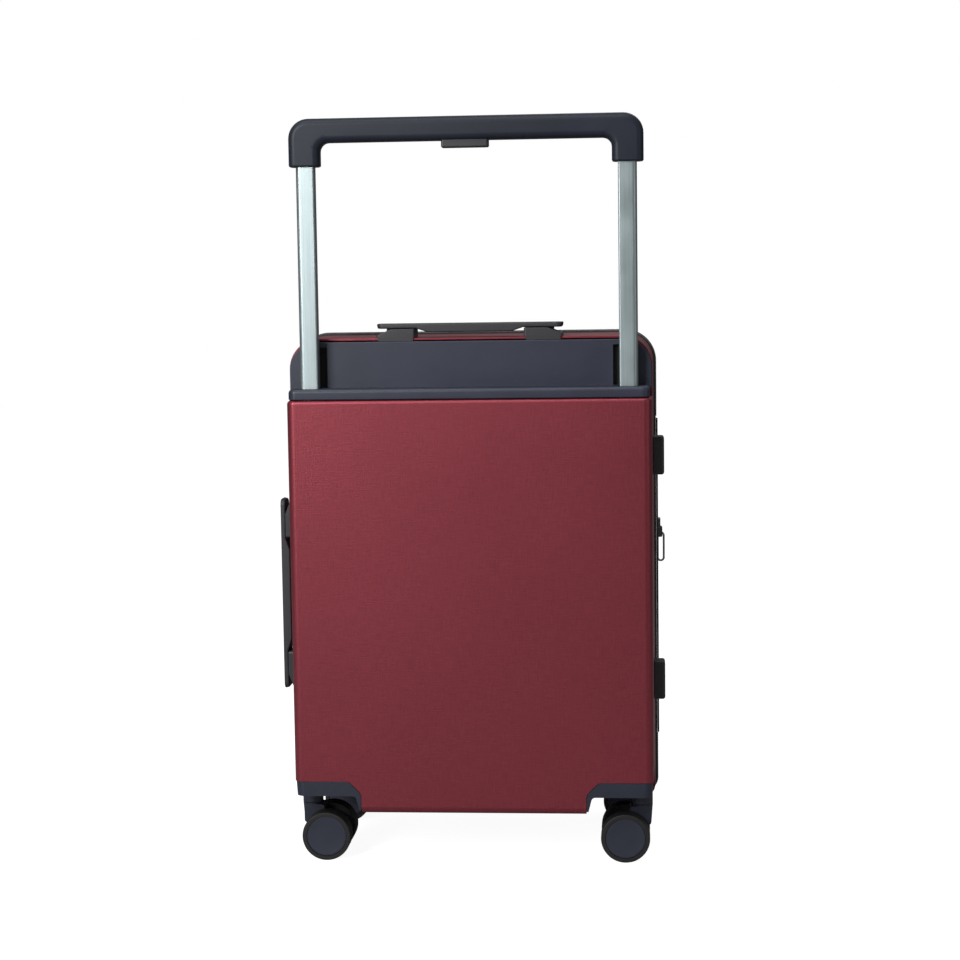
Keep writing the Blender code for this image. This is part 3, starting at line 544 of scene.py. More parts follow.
def make_edge_rub():
    """A mask that is 1 where handling has polished an edge, broken up by a coarse noise."""
    tree, inputs, outputs = new_group("edge_rub", {"Radius": 0.0006, "Amount": 1.0}, {"Mask": "Float"})
    round_off = tree.nodes.new("ShaderNodeBevel")
    round_off.samples = 4
    tree.links.new(inputs.outputs["Radius"], round_off.inputs["Radius"])
    true = tree.nodes.new("ShaderNodeNewGeometry")
    agree = add(tree, "VectorMath", operation="DOT_PRODUCT")
    tree.links.new(round_off.outputs["Normal"], agree.inputs[0])
    tree.links.new(true.outputs["Normal"], agree.inputs[1])
    edge = add(tree, "MapRange", From_Min=0.995, From_Max=0.90)
    tree.links.new(agree.outputs["Value"], edge.inputs["Value"])
    place = add(tree, "TexCoord")
    broken = add(tree, "TexNoise", Scale=160.0, Detail=3.0)
    tree.links.new(place.outputs["Object"], broken.inputs["Vector"])
    patch = add(tree, "MapRange", From_Min=0.38, From_Max=0.62)
    tree.links.new(broken.outputs["Fac"], patch.inputs["Value"])
    both = add(tree, "Math", operation="MULTIPLY")
    tree.links.new(edge.outputs["Result"], both.inputs[0])
    tree.links.new(patch.outputs["Result"], both.inputs[1])
    total = add(tree, "Math", operation="MULTIPLY", use_clamp=True)
    tree.links.new(both.outputs[0], total.inputs[0])
    tree.links.new(inputs.outputs["Amount"], total.inputs[1])
    tree.links.new(total.outputs[0], outputs.inputs["Mask"])
    return tree


moulded_grain = make_grain()
edge_rub = make_edge_rub()


def moulded(name, colour, worn, rough, grain=1500.0, rub=0.35, depth=0.00006, **sockets):
    """A grained moulding whose edges are rubbed to a lighter colour."""
    finish, tree, shader = new_finish(name, **sockets)
    surface = place_group(tree, moulded_grain, Colour=(*colour, 1), Rough=rough, Grain=grain,
                          Depth=depth)
    rubbed = place_group(tree, edge_rub, Amount=rub)
    tint = add(tree, "Mix", data_type="RGBA")
    tint.inputs["B"].default_value = (*worn, 1)
    tree.links.new(rubbed.outputs["Mask"], tint.inputs["Factor"])
    tree.links.new(surface.outputs["Colour"], tint.inputs["A"])
    tree.links.new(tint.outputs["Result"], shader.inputs["Base Color"])
    tree.links.new(surface.outputs["Roughness"], shader.inputs["Roughness"])
    tree.links.new(surface.outputs["Normal"], shader.inputs["Normal"])
    return finish


navy_plastic = moulded("navy_moulding", NAVY, NAVY_WORN, 0.42, Specular_IOR_Level=0.42)


def tube_bar(name, way, stage, low, high, clear=0.0):
    """A solid bar with a tube stage's outline: soft corners outside, tighter ones inside."""
    more = STAGE_STEP * stage + clear
    half = (TUBE_HALF[0] + more, TUBE_HALF[1] + more)
    low_x, high_x = (way * tube_x - half[0], way * tube_x + half[0])
    bar = block(name, (low_x, tube_y - half[1], low), (high_x, tube_y + half[1], high))
    outer, inner = (high_x, low_x) if way > 0 else (low_x, high_x)
    soften(bar, lambda e: runs(e, "Z") and at(e, "X", outer), SOFT_CORNER + more, 7)
    return soften(bar, lambda e: runs(e, "Z") and at(e, "X", inner), TIGHT_CORNER + more, 4)


inner_low, inner_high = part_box("inner_tube_right")
tube_x = (inner_low.x + inner_high.x) / 2
tube_y = (inner_low.y + inner_high.y) / 2


def trolley_moulding():
    half = bezel_high.x
    lapped = half + PANEL_LAP
    ledge_top = bezel_low.z + 0.011
    panel = block("trolley_moulding", (-lapped, panel_front, ledge_top - 0.004),
                  (lapped, panel_front + PANEL_THICK, bezel_high.z))
    soften(panel, lambda e: runs(e, "Y") and at(e, "Z", bezel_high.z), PANEL_RADIUS, 14)
    soften(panel, lambda e: at(e, "Y", panel_front) and middle_of(e).z > ledge_top, PANEL_EDGE, 3)
    ledge = block("ledge", (-half, bezel_low.y, bezel_low.z), (half, panel_front + PANEL_THICK - 0.0002,
                                                             ledge_top))
    soften(ledge, lambda e: runs(e, "Z") and at(e, "Y", bezel_low.y), LEDGE_END_RADIUS, 8)
    soften(ledge, lambda e: at(e, "Z", ledge_top) and not at(e, "Y", panel_front + PANEL_THICK - 0.0002),
           LEDGE_EDGE, 6)
    soften(ledge, lambda e: at(e, "Z", bezel_low.z) and middle_of(e).y < panel_front, 0.0012, 3)
    cut(ledge, block("hollow", (-half + 0.005, bezel_low.y + 0.003, bezel_low.z - 0.01),
                     (half - 0.005, panel_front - 0.0005, ledge_top - 0.003)))
    cut(panel, ledge, "UNION")
    for way in (-1, 1):
        x = sorted((way * (POCKET_INNER - 0.003), way * (POCKET_OUTER + 0.003)))
        back = block("pocket_back", (x[0], panel_front + 0.001, ledge_top - 0.005),
                     (x[1], panel_front + POCKET_DEPTH, POCKET_TOP + 0.0024))
        soften(back, lambda e: runs(e, "Y") and at(e, "X", way * (POCKET_OUTER + 0.003))
               and at(e, "Z", POCKET_TOP + 0.0024), POCKET_CHAMFER, 1)
        cut(panel, back, "UNION")
    for way in (-1, 1):
        x = sorted((way * POCKET_INNER, way * POCKET_OUTER))
        pocket = block("pocket", (x[0], panel_front - 0.02, ledge_top),
                       (x[1], panel_front + 0.008, POCKET_TOP))
        soften(pocket, lambda e: runs(e, "Y") and at(e, "X", way * POCKET_OUTER)
               and at(e, "Z", POCKET_TOP), POCKET_CHAMFER, 1)
        soften(pocket, lambda e: runs(e, "Y") and not at(e, "Z", ledge_top)
               or at(e, "Y", panel_front + 0.008) and not at(e, "Z", ledge_top), 0.0010, 3)
        cut(panel, pocket)
        cut(panel, tube_bar("hole", way, 1, ledge_top - 0.02, ledge_top + 0.01, TUBE_CLEAR))
    soften(panel, lambda e: runs(e, "X") and at(e, "Z", ledge_top) and at(e, "Y", panel_front)
           and not e.is_convex, CREASE, 4)
    return panel


moulding = hand_over(trolley_moulding(), "case_back", "navy_plastic", navy_plastic, "trolley_bezel")
# Painted shade: the faces inside the two pockets get a near-black material that stands in for the shadow deep
# in the pockets beside the tubes, on what is one navy moulding.
pocket_painted_shade = moulded("pocket_painted_shade_black", (0.0030, 0.0030, 0.0036), (0.012, 0.012, 0.014), 0.62)
moulding.data.materials.append(pocket_painted_shade)
# Picks the faces inside the pockets that carry the painted shade.
for face in moulding.data.polygons:
    x, y, z = abs(face.center.x), face.center.y, face.center.z
    beside_tube = POCKET_INNER - 0.0005 < x < POCKET_OUTER + 0.0005
    if beside_tube and y > panel_front + 0.0009 and bezel_low.z + 0.0115 < z < POCKET_TOP + 0.0005:
        face.material_index = 1

# ---------------------------------------------------------------- wheel housings
# Navy corner mouldings, screwed into the shells' corners: an arch over each caster, open to the
# case's side, with a round boss under its roof that takes the swivel's bearing.
HOUSING_BOTTOM = 0.0565
OUTER_BOTTOM = 0.1800         # the outer side leans in towards its lower edge
ARCH_TOP = 0.0712
ARCH_SIDE = (0.1099, 0.1203)  # of the arch's inner side, far below and at the roof
ARCH_ROUND = 0.0030
HOUSING_WALL = 0.003
BOSS_RADIUS = 0.0105
SEAM = 0.0553
BORE_RADIUS = 0.0042
fork_low, fork_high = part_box("caster_fork_back_right")
swing_x = fork_high.x - BOSS_RADIUS
swing_y = (fork_low.y + fork_high.y) / 2


def corner_housing():
    """The back right housing; the others are mirrored from it."""
    low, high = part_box("wheel_housing_back_right")
    body = block("wheel_housing", (low.x, low.y, HOUSING_BOTTOM), high)
    pick(body, "VERT", lambda v: v.co.x > high.x - 1e-4 and v.co.z < HOUSING_BOTTOM + 1e-4)
    bpy.ops.transform.translate(value=(OUTER_BOTTOM - high.x, 0, 0))
    close()
    soften(body, lambda e: runs(e, "Y") and at(e, "X", low.x) and at(e, "Z", high.z), CHAMFER, 1)
    soften(body, lambda e: runs(e, "Y") and middle_of(e).z > 0.06 and middle_of(e).x < 0.15, 0.003, 3)
    soften(body, lambda e: at(e, "Y", low.y) and runs(e, "Z") and middle_of(e).x > 0.17, EDGE_RADIUS, 6)
    soften(body, lambda e: at(e, "Y", low.y), 0.0006, 2)
    arch = block("arch", (ARCH_SIDE[0], low.y - 0.01, 0.03), (0.2, high.y - HOUSING_WALL, ARCH_TOP))
    pick(arch, "VERT", lambda v: v.co.x < ARCH_SIDE[0] + 1e-4 and v.co.z > ARCH_TOP - 1e-4)
    bpy.ops.transform.translate(value=(ARCH_SIDE[1] - ARCH_SIDE[0], 0, 0))
    close()
    soften(arch, lambda e: runs(e, "Y") and at(e, "Z", ARCH_TOP) and middle_of(e).x < 0.15, ARCH_ROUND, 5)
    cut(body, arch)
    cut(body, block("hollow", (0.1300, low.y + HOUSING_WALL, ARCH_TOP + HOUSING_WALL),
                    (0.1775, high.y - HOUSING_WALL, high.z + 0.01)))
    centre = (swing_x, swing_y)
    boss = drum("boss", BOSS_RADIUS, "Z", SEAM, ARCH_TOP + 0.001, centre, 64)
    soften(boss, lambda e: at(e, "Z", SEAM), 0.0006, 2)
    cut(body, boss, "UNION")
    cut(body, drum("bore", BORE_RADIUS, "Z", SEAM - 0.01, ARCH_TOP + 0.0015, centre, 32))
    return ease(body, 0.0005, 2, 50)


HOUSING_NAVY = (0.013, 0.016, 0.030)
housing_plastic = moulded("housing_moulding", HOUSING_NAVY, (0.040, 0.045, 0.066), 0.44)
housing = corner_housing()
for half, end in (("back", -1), ("front", 1)):
    for side, way in (("left", -1), ("right", 1)):
        label = half + "_" + side
        flip = ("X" if way < 0 else "") + ("Y" if end > 0 else "")
        copy = copy_of(housing, "corner_housing_" + label, flip=flip)
        hand_over(copy, "case_" + half, "navy_plastic", housing_plastic, "wheel_housing_" + label)
bpy.data.objects.remove(housing)

# ---------------------------------------------------------------- zips and the band between the shells
# Two zips run round the case on woven tape sewn along the rims: the back one opens it, the front
# one lets it grow. A moulded band joins the two, with a pleated fabric gusset folded behind it.
RIM_RADII = (0.030, 0.012)    # of the rims' upper and lower corners
TAPE_PROUD = 0.002
TAPE_THICK = 0.0036
BAND_GROOVES = (0.0070, 0.0122)
GROOVE_DEPTH = 0.0006
TOOTH_PITCH = 0.0025
TOOTH = (0.00125, 0.0027, 0.0009)
TOOTH_LAP = 0.0004            # how far each row reaches over the parting line
PLEAT_DEPTH = 0.0085
TAPE_BLACK = (0.012, 0.012, 0.015)
BAND_BLACK = (0.016, 0.016, 0.019)
rim_half = back_high.x
rim_top = back_high.z
rim_bottom = back_low.z


def woven(name, colour, light, rough, count, slub, depth, strength, **sockets):
    """A cloth whose threads are lighter on their crowns, with a soft sheen at grazing angles."""
    finish, tree, shader = new_finish(name, Sheen_Weight=0.35, Sheen_Roughness=0.5, **sockets)
    cloth = place_group(tree, thread_weave, Count=count, Slub=slub, Depth=depth, Strength=strength)
    tint = add(tree, "Mix", data_type="RGBA")
    tint.inputs["A"].default_value = (*colour, 1)
    tint.inputs["B"].default_value = (*light, 1)
    place = add(tree, "TexCoord")
    dust = add(tree, "TexNoise", Scale=35.0, Detail=3.0)
    tree.links.new(place.outputs["Object"], dust.inputs["Vector"])
    worn = add(tree, "MapRange", From_Min=0.3, From_Max=0.7, To_Min=0.45, To_Max=0.95)
    tree.links.new(dust.outputs["Fac"], worn.inputs["Value"])
    both = add(tree, "Math", operation="MULTIPLY")
    tree.links.new(cloth.outputs["Mask"], both.inputs[0])
    tree.links.new(worn.outputs["Result"], both.inputs[1])
    tree.links.new(both.outputs[0], tint.inputs["Factor"])
    gloss = add(tree, "MapRange", To_Min=rough + 0.06, To_Max=rough - 0.10)
    tree.links.new(both.outputs[0], gloss.inputs["Value"])
    tree.links.new(tint.outputs["Result"], shader.inputs["Base Color"])
    tree.links.new(gloss.outputs["Result"], shader.inputs["Roughness"])
    tree.links.new(cloth.outputs["Normal"], shader.inputs["Normal"])
    return finish


zip_tape = woven("zip_tape_weave", TAPE_BLACK, (0.040, 0.040, 0.046), 0.85, 2200.0, 260.0, 0.00012, 0.6)
charcoal = moulded("charcoal_moulding", (0.019, 0.019, 0.023), (0.052, 0.052, 0.060), 0.46)
band_plastic = moulded("band_moulding", BAND_BLACK, (0.040, 0.040, 0.046), 0.50)
tooth_resin = moulded("zip_tooth_resin", (0.010, 0.010, 0.012), (0.035, 0.035, 0.040), 0.34, 900.0)


def rim_strip(name, low_y, high_y, proud, *folds):
    """A tube that follows the case's rims, with extra loops at the given depths."""
    strip = block(name, (-rim_half - proud, low_y, rim_bottom - proud),
                  (rim_half + proud, high_y, rim_top + proud))
    upper, lower = (radius + proud for radius in RIM_RADII)
    soften(strip, lambda e: runs(e, "Y") and middle_of(e).z > 0.5, upper, 14)
    soften(strip, lambda e: runs(e, "Y") and middle_of(e).z < 0.06, lower, 8)
    drop_faces(strip, lambda f: at(f, "Y", low_y) or at(f, "Y", high_y))
    for fold in folds:
        pick(strip, "FACE", lambda f: True)
        bpy.ops.mesh.bisect(plane_co=(0, fold, 0), plane_no=(0, 1, 0))
        close()
    return strip


def push_loops(strip, low_y, high_y, amount):
    """Moves the loops between two depths along their normals."""
    pick(strip, "VERT", lambda v: low_y < v.co.y < high_y)
    bpy.ops.transform.shrink_fatten(value=amount)
    close()


def tape(name, node, body):
    low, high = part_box(node)
    strip = rim_strip(name, low.y, high.y, high.x - rim_half)
    applied(strip, "SOLIDIFY", thickness=TAPE_THICK, offset=-1, use_even_offset=True)
    ease(strip, 0.0004, 2, 60)
    return hand_over(strip, body, "zip_tape", zip_tape, node)


tape("zip_tape_back", "main_zip_back", "case_back")
tape("zip_tape_band", "main_zip_front", "mid_band")
tape("zip_tape_expansion", "expansion_zip_front", "case_front")

band_low, band_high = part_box("mid_band")
groove_low, groove_high = BAND_GROOVES
band = rim_strip("rim_band", band_low.y, band_high.y, band_high.x - rim_half, groove_low,
                 groove_low + 0.0005, groove_high - 0.0005, groove_high)
push_loops(band, groove_low + 0.0001, groove_high - 0.0001, -GROOVE_DEPTH)
applied(band, "SOLIDIFY", thickness=TAPE_THICK - GROOVE_DEPTH, offset=-1, use_even_offset=True)
ease(band, 0.0004, 2, 60)
hand_over(band, "mid_band", "charcoal_plastic", band_plastic, "mid_band")


def run_of_zip(proud, gap=None):
    """The line that a row of teeth follows, flat in X and Y; gap is the hinge's span, if it stops there."""
    half, top, bottom = rim_half + proud, rim_top + proud, rim_bottom - proud
    upper, lower = (radius + proud for radius in RIM_RADII)
    corners = ((half - upper, top - upper, upper, 0), (upper - half, top - upper, upper, 90),
               (lower - half, bottom + lower, lower, 180), (half - lower, bottom + lower, lower, 270))
    points = [(half, gap[1])] if gap else []
    for x, z, radius, start in corners:
        for step in range(17):
            angle = math.radians(start + 90 * step / 16)
            points.append((x + radius * math.cos(angle), z + radius * math.sin(angle)))
    if gap:
        points.append((half, gap[0]))
    line = bpy.data.curves.new("zip_run", "CURVE")
    line.dimensions = "2D"
    spline = line.splines.new("POLY")
    spline.points.add(len(points) - 1)
    for point, (x, z) in zip(spline.points, points):
        point.co = (x, z, 0, 1)
    spline.use_cyclic_u = not gap
    path = bpy.data.objects.new("zip_run", line)
    bpy.context.scene.collection.objects.link(path)
    return path, spline.calc_length()


def zip_teeth(name, body, seam, way, proud, gap=None):
    """One row of moulded teeth along a seam, on one side of it, reaching a little across."""
    path, length = run_of_zip(proud, gap)
    count = round(length / TOOTH_PITCH)
    wide, deep, high = TOOTH
    y = sorted((seam - way * TOOTH_LAP, seam + way * (deep - TOOTH_LAP)))
    start = TOOTH_PITCH / 4 if way > 0 else TOOTH_PITCH * 3 / 4
    tooth = block(name, (start - wide / 2, -high, -y[1]), (start + wide / 2, 0.0002, -y[0]))
    soften(tooth, lambda e: at(e, "Y", -high), 0.0003, 1)
    drop_faces(tooth, lambda f: at(f, "Y", 0.0002))
    step = length / count
    applied(tooth, "ARRAY", count=count, use_relative_offset=False, use_constant_offset=True,
            constant_offset_displace=(step, 0, 0))
    applied(tooth, "CURVE", object=path, deform_axis="POS_X")
    line = path.data
    bpy.data.objects.remove(path)
    bpy.data.curves.remove(line)
    take(tooth)
    tooth.rotation_euler = (math.pi / 2, 0, 0)
    settle(name)
    return hand_over(tooth, body, "zip_tape", tooth_resin, weighted=False)


hinge_low, hinge_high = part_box("hinge_tape")
main_seam = (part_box("main_zip_back")[1].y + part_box("main_zip_front")[0].y) / 2
growth_seam = (band_high.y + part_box("expansion_zip_front")[0].y) / 2
hinge_span = (hinge_low.z - 0.002, hinge_high.z + 0.002)
zip_teeth("zip_teeth_back", "case_back", main_seam, -1, TAPE_PROUD, hinge_span)
zip_teeth("zip_teeth_band", "mid_band", main_seam, 1, TAPE_PROUD, hinge_span)
zip_teeth("zip_teeth_growth_band", "mid_band", growth_seam, -1, TAPE_PROUD)
zip_teeth("zip_teeth_growth_front", "case_front", growth_seam, 1, TAPE_PROUD)

gusset_low, gusset_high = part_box("expansion_gusset")
pleats = [gusset_low.y + 0.003 + k * (gusset_high.y - gusset_low.y - 0.003) / 8 for k in range(9)]
gusset = rim_strip("expansion_gusset_cloth", gusset_low.y, gusset_high.y, gusset_high.x - rim_half,
                   *pleats[:-1])
for k, fold in enumerate(pleats[1:-1], 1):
    sink = PLEAT_DEPTH * (1 - abs(k % 4 - 2) / 2) * (1 if k % 4 else 0)
    push_loops(gusset, fold - 0.0001, fold + 0.0001, -sink)
applied(gusset, "SOLIDIFY", thickness=0.0005, offset=0)
take(gusset)
bpy.ops.object.shade_smooth_by_angle(angle=math.radians(50))
gusset_cloth = woven("gusset_cloth", TAPE_BLACK, (0.034, 0.034, 0.040), 0.9, 1500.0, 120.0, 0.0001, 0.5)
gusset.data.materials.append(gusset_cloth)
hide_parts("expansion_gusset")
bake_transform(gusset)

hinge_strip = block("hinge_tape_patch", hinge_low, hinge_high)
soften(hinge_strip, lambda e: at(e, "X", hinge_high.x), 0.0005, 2)
hand_over(hinge_strip, "case_back", "zip_tape", zip_tape, "hinge_tape")
STRIP_THICK = 0.0006
strip_x = hinge_low.x - 0.0001
hinge_web = block("lid_hinge_web", (strip_x, hinge_low.y, hinge_low.z), (strip_x + STRIP_THICK, 0.0042,
                                                                       hinge_high.z))
pick(hinge_web, "FACE", lambda f: True)
bpy.ops.mesh.subdivide(number_cuts=1)
close()
for k in range(9):
    pick(hinge_web, "FACE", lambda f: True)
    bpy.ops.mesh.bisect(plane_co=(0, main_seam + 0.0007 * (k - 4), 0), plane_no=(0, 1, 0))
    close()
take(hinge_web)
bpy.ops.object.shade_smooth_by_angle(angle=math.radians(50))
hinge_web.data.materials.append(zip_tape)
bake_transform(hinge_web)

# ---------------------------------------------------------------- linings
# A grey woven tray is bound and glued into each half. The back one has two elastic straps with a
# buckle over the clothes, and the front one a zipped mesh and cloth divider across its mouth.
LINING_WALL = 0.0012
LINING_SEGMENTS = 4
BINDING = 0.0022
STRAP_WIDTH = 0.025
STRAP_THICK = 0.0012
BUCKLE = (0.050, 0.034, 0.0042)
LINING_GREY = (0.050, 0.052, 0.062)
LINING_LIGHT = (0.105, 0.108, 0.122)
lining_cloth = woven("lining_weave", LINING_GREY, LINING_LIGHT, 0.88, 1300.0, 90.0, 0.0001, 0.5)
webbing = woven("strap_webbing", TAPE_BLACK, (0.055, 0.055, 0.062), 0.8, 1100.0, 420.0, 0.0002, 0.8)


def lining_tray(name, node, body, end):
    """A cloth tray with soft corners, a slack floor and a bound edge."""
    low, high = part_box(node)
    closed, mouth = (low.y, high.y) if end < 0 else (high.y, low.y)
    tray = block(name, low, high)
    soften(tray, lambda e: runs(e, "Y") and middle_of(e).z > 0.4, 0.020, 5)
    soften(tray, lambda e: runs(e, "Y") and middle_of(e).z < 0.12, 0.012, 4)
    soften(tray, lambda e: at(e, "Y", closed), 0.006, LINING_SEGMENTS)
    drop_faces(tray, lambda f: at(f, "Y", mouth))
    crinkle = bpy.data.textures.new(name + "_slack", "CLOUDS")
    crinkle.noise_scale = 0.055
    for cuts in (0.15, 0.25, 0.35, 0.45):
        pick(tray, "FACE", lambda f: True)
        bpy.ops.mesh.bisect(plane_co=(0, 0, cuts), plane_no=(0, 0, 1))
        close()
    for cuts in (-0.12, -0.06, 0.0, 0.06, 0.12):
        pick(tray, "FACE", lambda f: True)
        bpy.ops.mesh.bisect(plane_co=(cuts, 0, 0), plane_no=(1, 0, 0))
        close()
    applied(tray, "SUBSURF", levels=2, render_levels=2, subdivision_type="SIMPLE")
    inner = tray.vertex_groups.new(name="floor")
    deep = abs(mouth - closed)
    for vert in tray.data.vertices:
        edge = min(1.0, abs(vert.co.y - mouth) / deep * 1.6)
        near = (abs(vert.co.x) > high.x - 0.004) + (vert.co.z > high.z - 0.004) + (vert.co.z < low.z + 0.004)
        inner.add([vert.index], edge if near < 1 else edge * 0.5, "REPLACE")
    applied(tray, "DISPLACE", texture=crinkle, strength=-0.0036, mid_level=0.0, vertex_group="floor")
    applied(tray, "SOLIDIFY", thickness=LINING_WALL, offset=-1)
    hand_over(tray, body, "lining_fabric", lining_cloth, node, angle=50)
    rim = block(name + "_binding", (low.x - 0.0004, mouth - (0.006 if end < 0 else -0.0005), low.z - 0.0004),
                (high.x + 0.0004, mouth + (0.0005 if end < 0 else 0.006), high.z + 0.0004))
    soften(rim, lambda e: runs(e, "Y") and middle_of(e).z > 0.4, 0.0204, 5)
    soften(rim, lambda e: runs(e, "Y") and middle_of(e).z < 0.12, 0.0124, 4)
    y_low, y_high = sorted((mouth - (0.006 if end < 0 else -0.0005), mouth + (0.0005 if end < 0 else 0.006)))
    drop_faces(rim, lambda f: at(f, "Y", y_low) or at(f, "Y", y_high))
    applied(rim, "SOLIDIFY", thickness=BINDING, offset=-1)
    ease(rim, 0.0007, 3, 50)
    return hand_over(rim, body, "lining_fabric", webbing)


def lining_apron(half, end):
    """A cloth flap from the lining's lower edge to the shell's bottom, in front of the wheel wells."""
    low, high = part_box(half + "_lining")
    mouth = high.y if end < 0 else low.y
    y = sorted((mouth - end * 0.0004, mouth + end * 0.0006))
    apron = block("lining_apron_" + half, (-0.1765, y[0], rim_bottom + 0.0026), (0.1765, y[1], low.z + 0.004))
    soften(apron, lambda e: runs(e, "Y") and middle_of(e).z < low.z, 0.0095, 5)
    hand_over(apron, "case_" + half, "lining_fabric", lining_cloth)


lining_tray("lining_back", "back_lining", "case_back", -1)
lining_tray("lining_front", "front_lining", "case_front", 1)
lining_apron("back", -1)
lining_apron("front", 1)

rear_low, rear_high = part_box("back_lining")
fore_low, fore_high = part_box("front_lining")
strap_y = rear_high.y - 0.012
inside = rear_high.x - 0.0016
middle_z = (rear_low.z + rear_high.z) / 2
for label, way in (("left", -1), ("right", 1)):
    strap = block("packing_strap_" + label, (-STRAP_WIDTH / 2 + way * 0.075, strap_y, rear_low.z + 0.002),
                  (STRAP_WIDTH / 2 + way * 0.075, strap_y + STRAP_THICK, rear_high.z - 0.002))
    pick(strap, "FACE", lambda f: True)
    bpy.ops.mesh.bisect(plane_co=(0, 0, middle_z), plane_no=(0, 0, 1))
    close()
    pick(strap, "VERT", lambda v: abs(v.co.z - middle_z) < 0.001)
    bpy.ops.transform.translate(value=(-way * 0.050, 0.004, 0))
    close()
    soften(strap, lambda e: runs(e, "X") and abs(middle_of(e).z - middle_z) < 0.001, 0.030, 5)
    ease(strap, 0.0003, 2, 60)
    hand_over(strap, "case_back", "lining_fabric", webbing)
wide, tall, deep = BUCKLE
buckle = block("strap_buckle", (-wide / 2, strap_y + 0.0028, middle_z - tall / 2),
               (wide / 2, strap_y + 0.0028 + deep, middle_z + tall / 2))
soften(buckle, lambda e: runs(e, "Y"), 0.008, 5)
pick(buckle, "FACE", lambda f: at(f, "Y", strap_y + 0.0028 + deep))
bpy.ops.mesh.inset(thickness=0.0035)
bpy.ops.transform.translate(value=(0, -0.0010, 0))
close()
for way in (-1, 1):
    cut(buckle, block("slot", (way * 0.016 - 0.0020, strap_y, middle_z - 0.0095),
                      (way * 0.016 + 0.0020, strap_y + 0.02, middle_z + 0.0095)))
ease(buckle, 0.0006, 2, 50)
hand_over(buckle, "case_back", "charcoal_plastic", charcoal)

divider_y = fore_low.y + 0.010
divider = block("divider_panel", (fore_low.x + 0.003, divider_y, fore_low.z + 0.003),
                (fore_high.x - 0.003, divider_y + 0.0010, fore_high.z - 0.003))
soften(divider, lambda e: runs(e, "Y") and middle_of(e).z > 0.4, 0.018, 5)
soften(divider, lambda e: runs(e, "Y") and middle_of(e).z < 0.12, 0.010, 4)
hand_over(divider, "case_front", "lining_fabric", lining_cloth)
pocket_zip = block("divider_zip", (-0.135, divider_y - 0.0009, fore_high.z - 0.075),
                   (0.135, divider_y + 0.0002, fore_high.z - 0.060))
soften(pocket_zip, lambda e: runs(e, "Y"), 0.003, 3)
pick(pocket_zip, "FACE", lambda f: at(f, "Y", divider_y - 0.0009))
bpy.ops.mesh.inset(thickness=0.0045)
bpy.ops.transform.translate(value=(0, -0.0006, 0))
close()
hand_over(pocket_zip, "case_front", "zip_tape", zip_tape)

# ---------------------------------------------------------------- trolley tubes and their foot
# Three stages of extruded and anodised aluminium on each side, the widest one fixed in the case.
# Their lower ends sit in a moulded foot that is screwed across the back shell.
TUBE_WALL = 0.0012
TUBE_GREY = (0.36, 0.425, 0.435)


def make_draw_lines():
    """Fine lines along Z, as a die leaves them, in a bump, a tint and a gloss."""
    tree, inputs, outputs = new_group(
        "draw_lines", {"Colour": (0.5, 0.5, 0.5, 1), "Rough": 0.3, "Strength": 0.25},
        {"Colour": "Color", "Roughness": "Float", "Normal": "Vector"})
    place = add(tree, "TexCoord")
    long = add(tree, "VectorMath", operation="MULTIPLY")
    long.inputs[1].default_value = (1600.0, 1600.0, 9.0)
    lines = add(tree, "TexNoise", Scale=1.0, Detail=2.0)
    cloud = add(tree, "TexNoise", Scale=26.0, Detail=3.0)
    tree.links.new(place.outputs["Object"], long.inputs[0])
    tree.links.new(long.outputs["Vector"], lines.inputs["Vector"])
    tree.links.new(place.outputs["Object"], cloud.inputs["Vector"])
    bump = add(tree, "Bump", Distance=0.00004)
    tree.links.new(inputs.outputs["Strength"], bump.inputs["Strength"])
    tree.links.new(lines.outputs["Fac"], bump.inputs["Height"])
    tree.links.new(bump.outputs["Normal"], outputs.inputs["Normal"])
    shade = add(tree, "MapRange", From_Min=0.3, From_Max=0.7, To_Min=0.84, To_Max=1.1)
    tree.links.new(lines.outputs["Fac"], shade.inputs["Value"])
    tint = add(tree, "VectorMath", operation="SCALE")
    tree.links.new(inputs.outputs["Colour"], tint.inputs[0])
    tree.links.new(shade.outputs["Result"], tint.inputs["Scale"])
    tree.links.new(tint.outputs["Vector"], outputs.inputs["Colour"])
    spread = add(tree, "MapRange", From_Min=0.3, From_Max=0.7, To_Min=-0.05, To_Max=0.07)
    tree.links.new(cloud.outputs["Fac"], spread.inputs["Value"])
    gloss = add(tree, "Math", operation="ADD")
    tree.links.new(spread.outputs["Result"], gloss.inputs[0])
    tree.links.new(inputs.outputs["Rough"], gloss.inputs[1])
    tree.links.new(gloss.outputs[0], outputs.inputs["Roughness"])
    return tree


draw_lines = make_draw_lines()


def drawn_metal(name, colour, rough, **sockets):
    finish, tree, shader = new_finish(name, **sockets)
    surface = place_group(tree, draw_lines, Colour=(*colour, 1), Rough=rough)
    tree.links.new(surface.outputs["Colour"], shader.inputs["Base Color"])
    tree.links.new(surface.outputs["Roughness"], shader.inputs["Roughness"])
    tree.links.new(surface.outputs["Normal"], shader.inputs["Normal"])
    return finish


anodised = drawn_metal("anodised_aluminium", TUBE_GREY, 0.42, Metallic=0.9)
gunmetal = drawn_metal("gunmetal_plate", (0.115, 0.115, 0.125), 0.36, Metallic=0.92)
bright_pin = drawn_metal("bright_steel", (0.36, 0.36, 0.38), 0.30, Metallic=1.0)

for side, way in (("left", -1), ("right", 1)):
    for stage, body, drawn in ((2, "case_back", "outer"), (1, "trolley_middle", "middle"),
                               (0, "trolley_inner", "inner")):
        node = "%s_tube_%s" % (drawn, side)
        low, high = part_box(node)
        tube = tube_bar("%s_trolley_tube_%s" % (drawn, side), way, stage, low.z, high.z)
        drop_faces(tube, lambda f: at(f, "Z", low.z) or at(f, "Z", high.z))
        applied(tube, "SOLIDIFY", thickness=TUBE_WALL, offset=-1, use_even_offset=True)
        hand_over(tube, body, "tube_aluminium", anodised, node, angle=45)

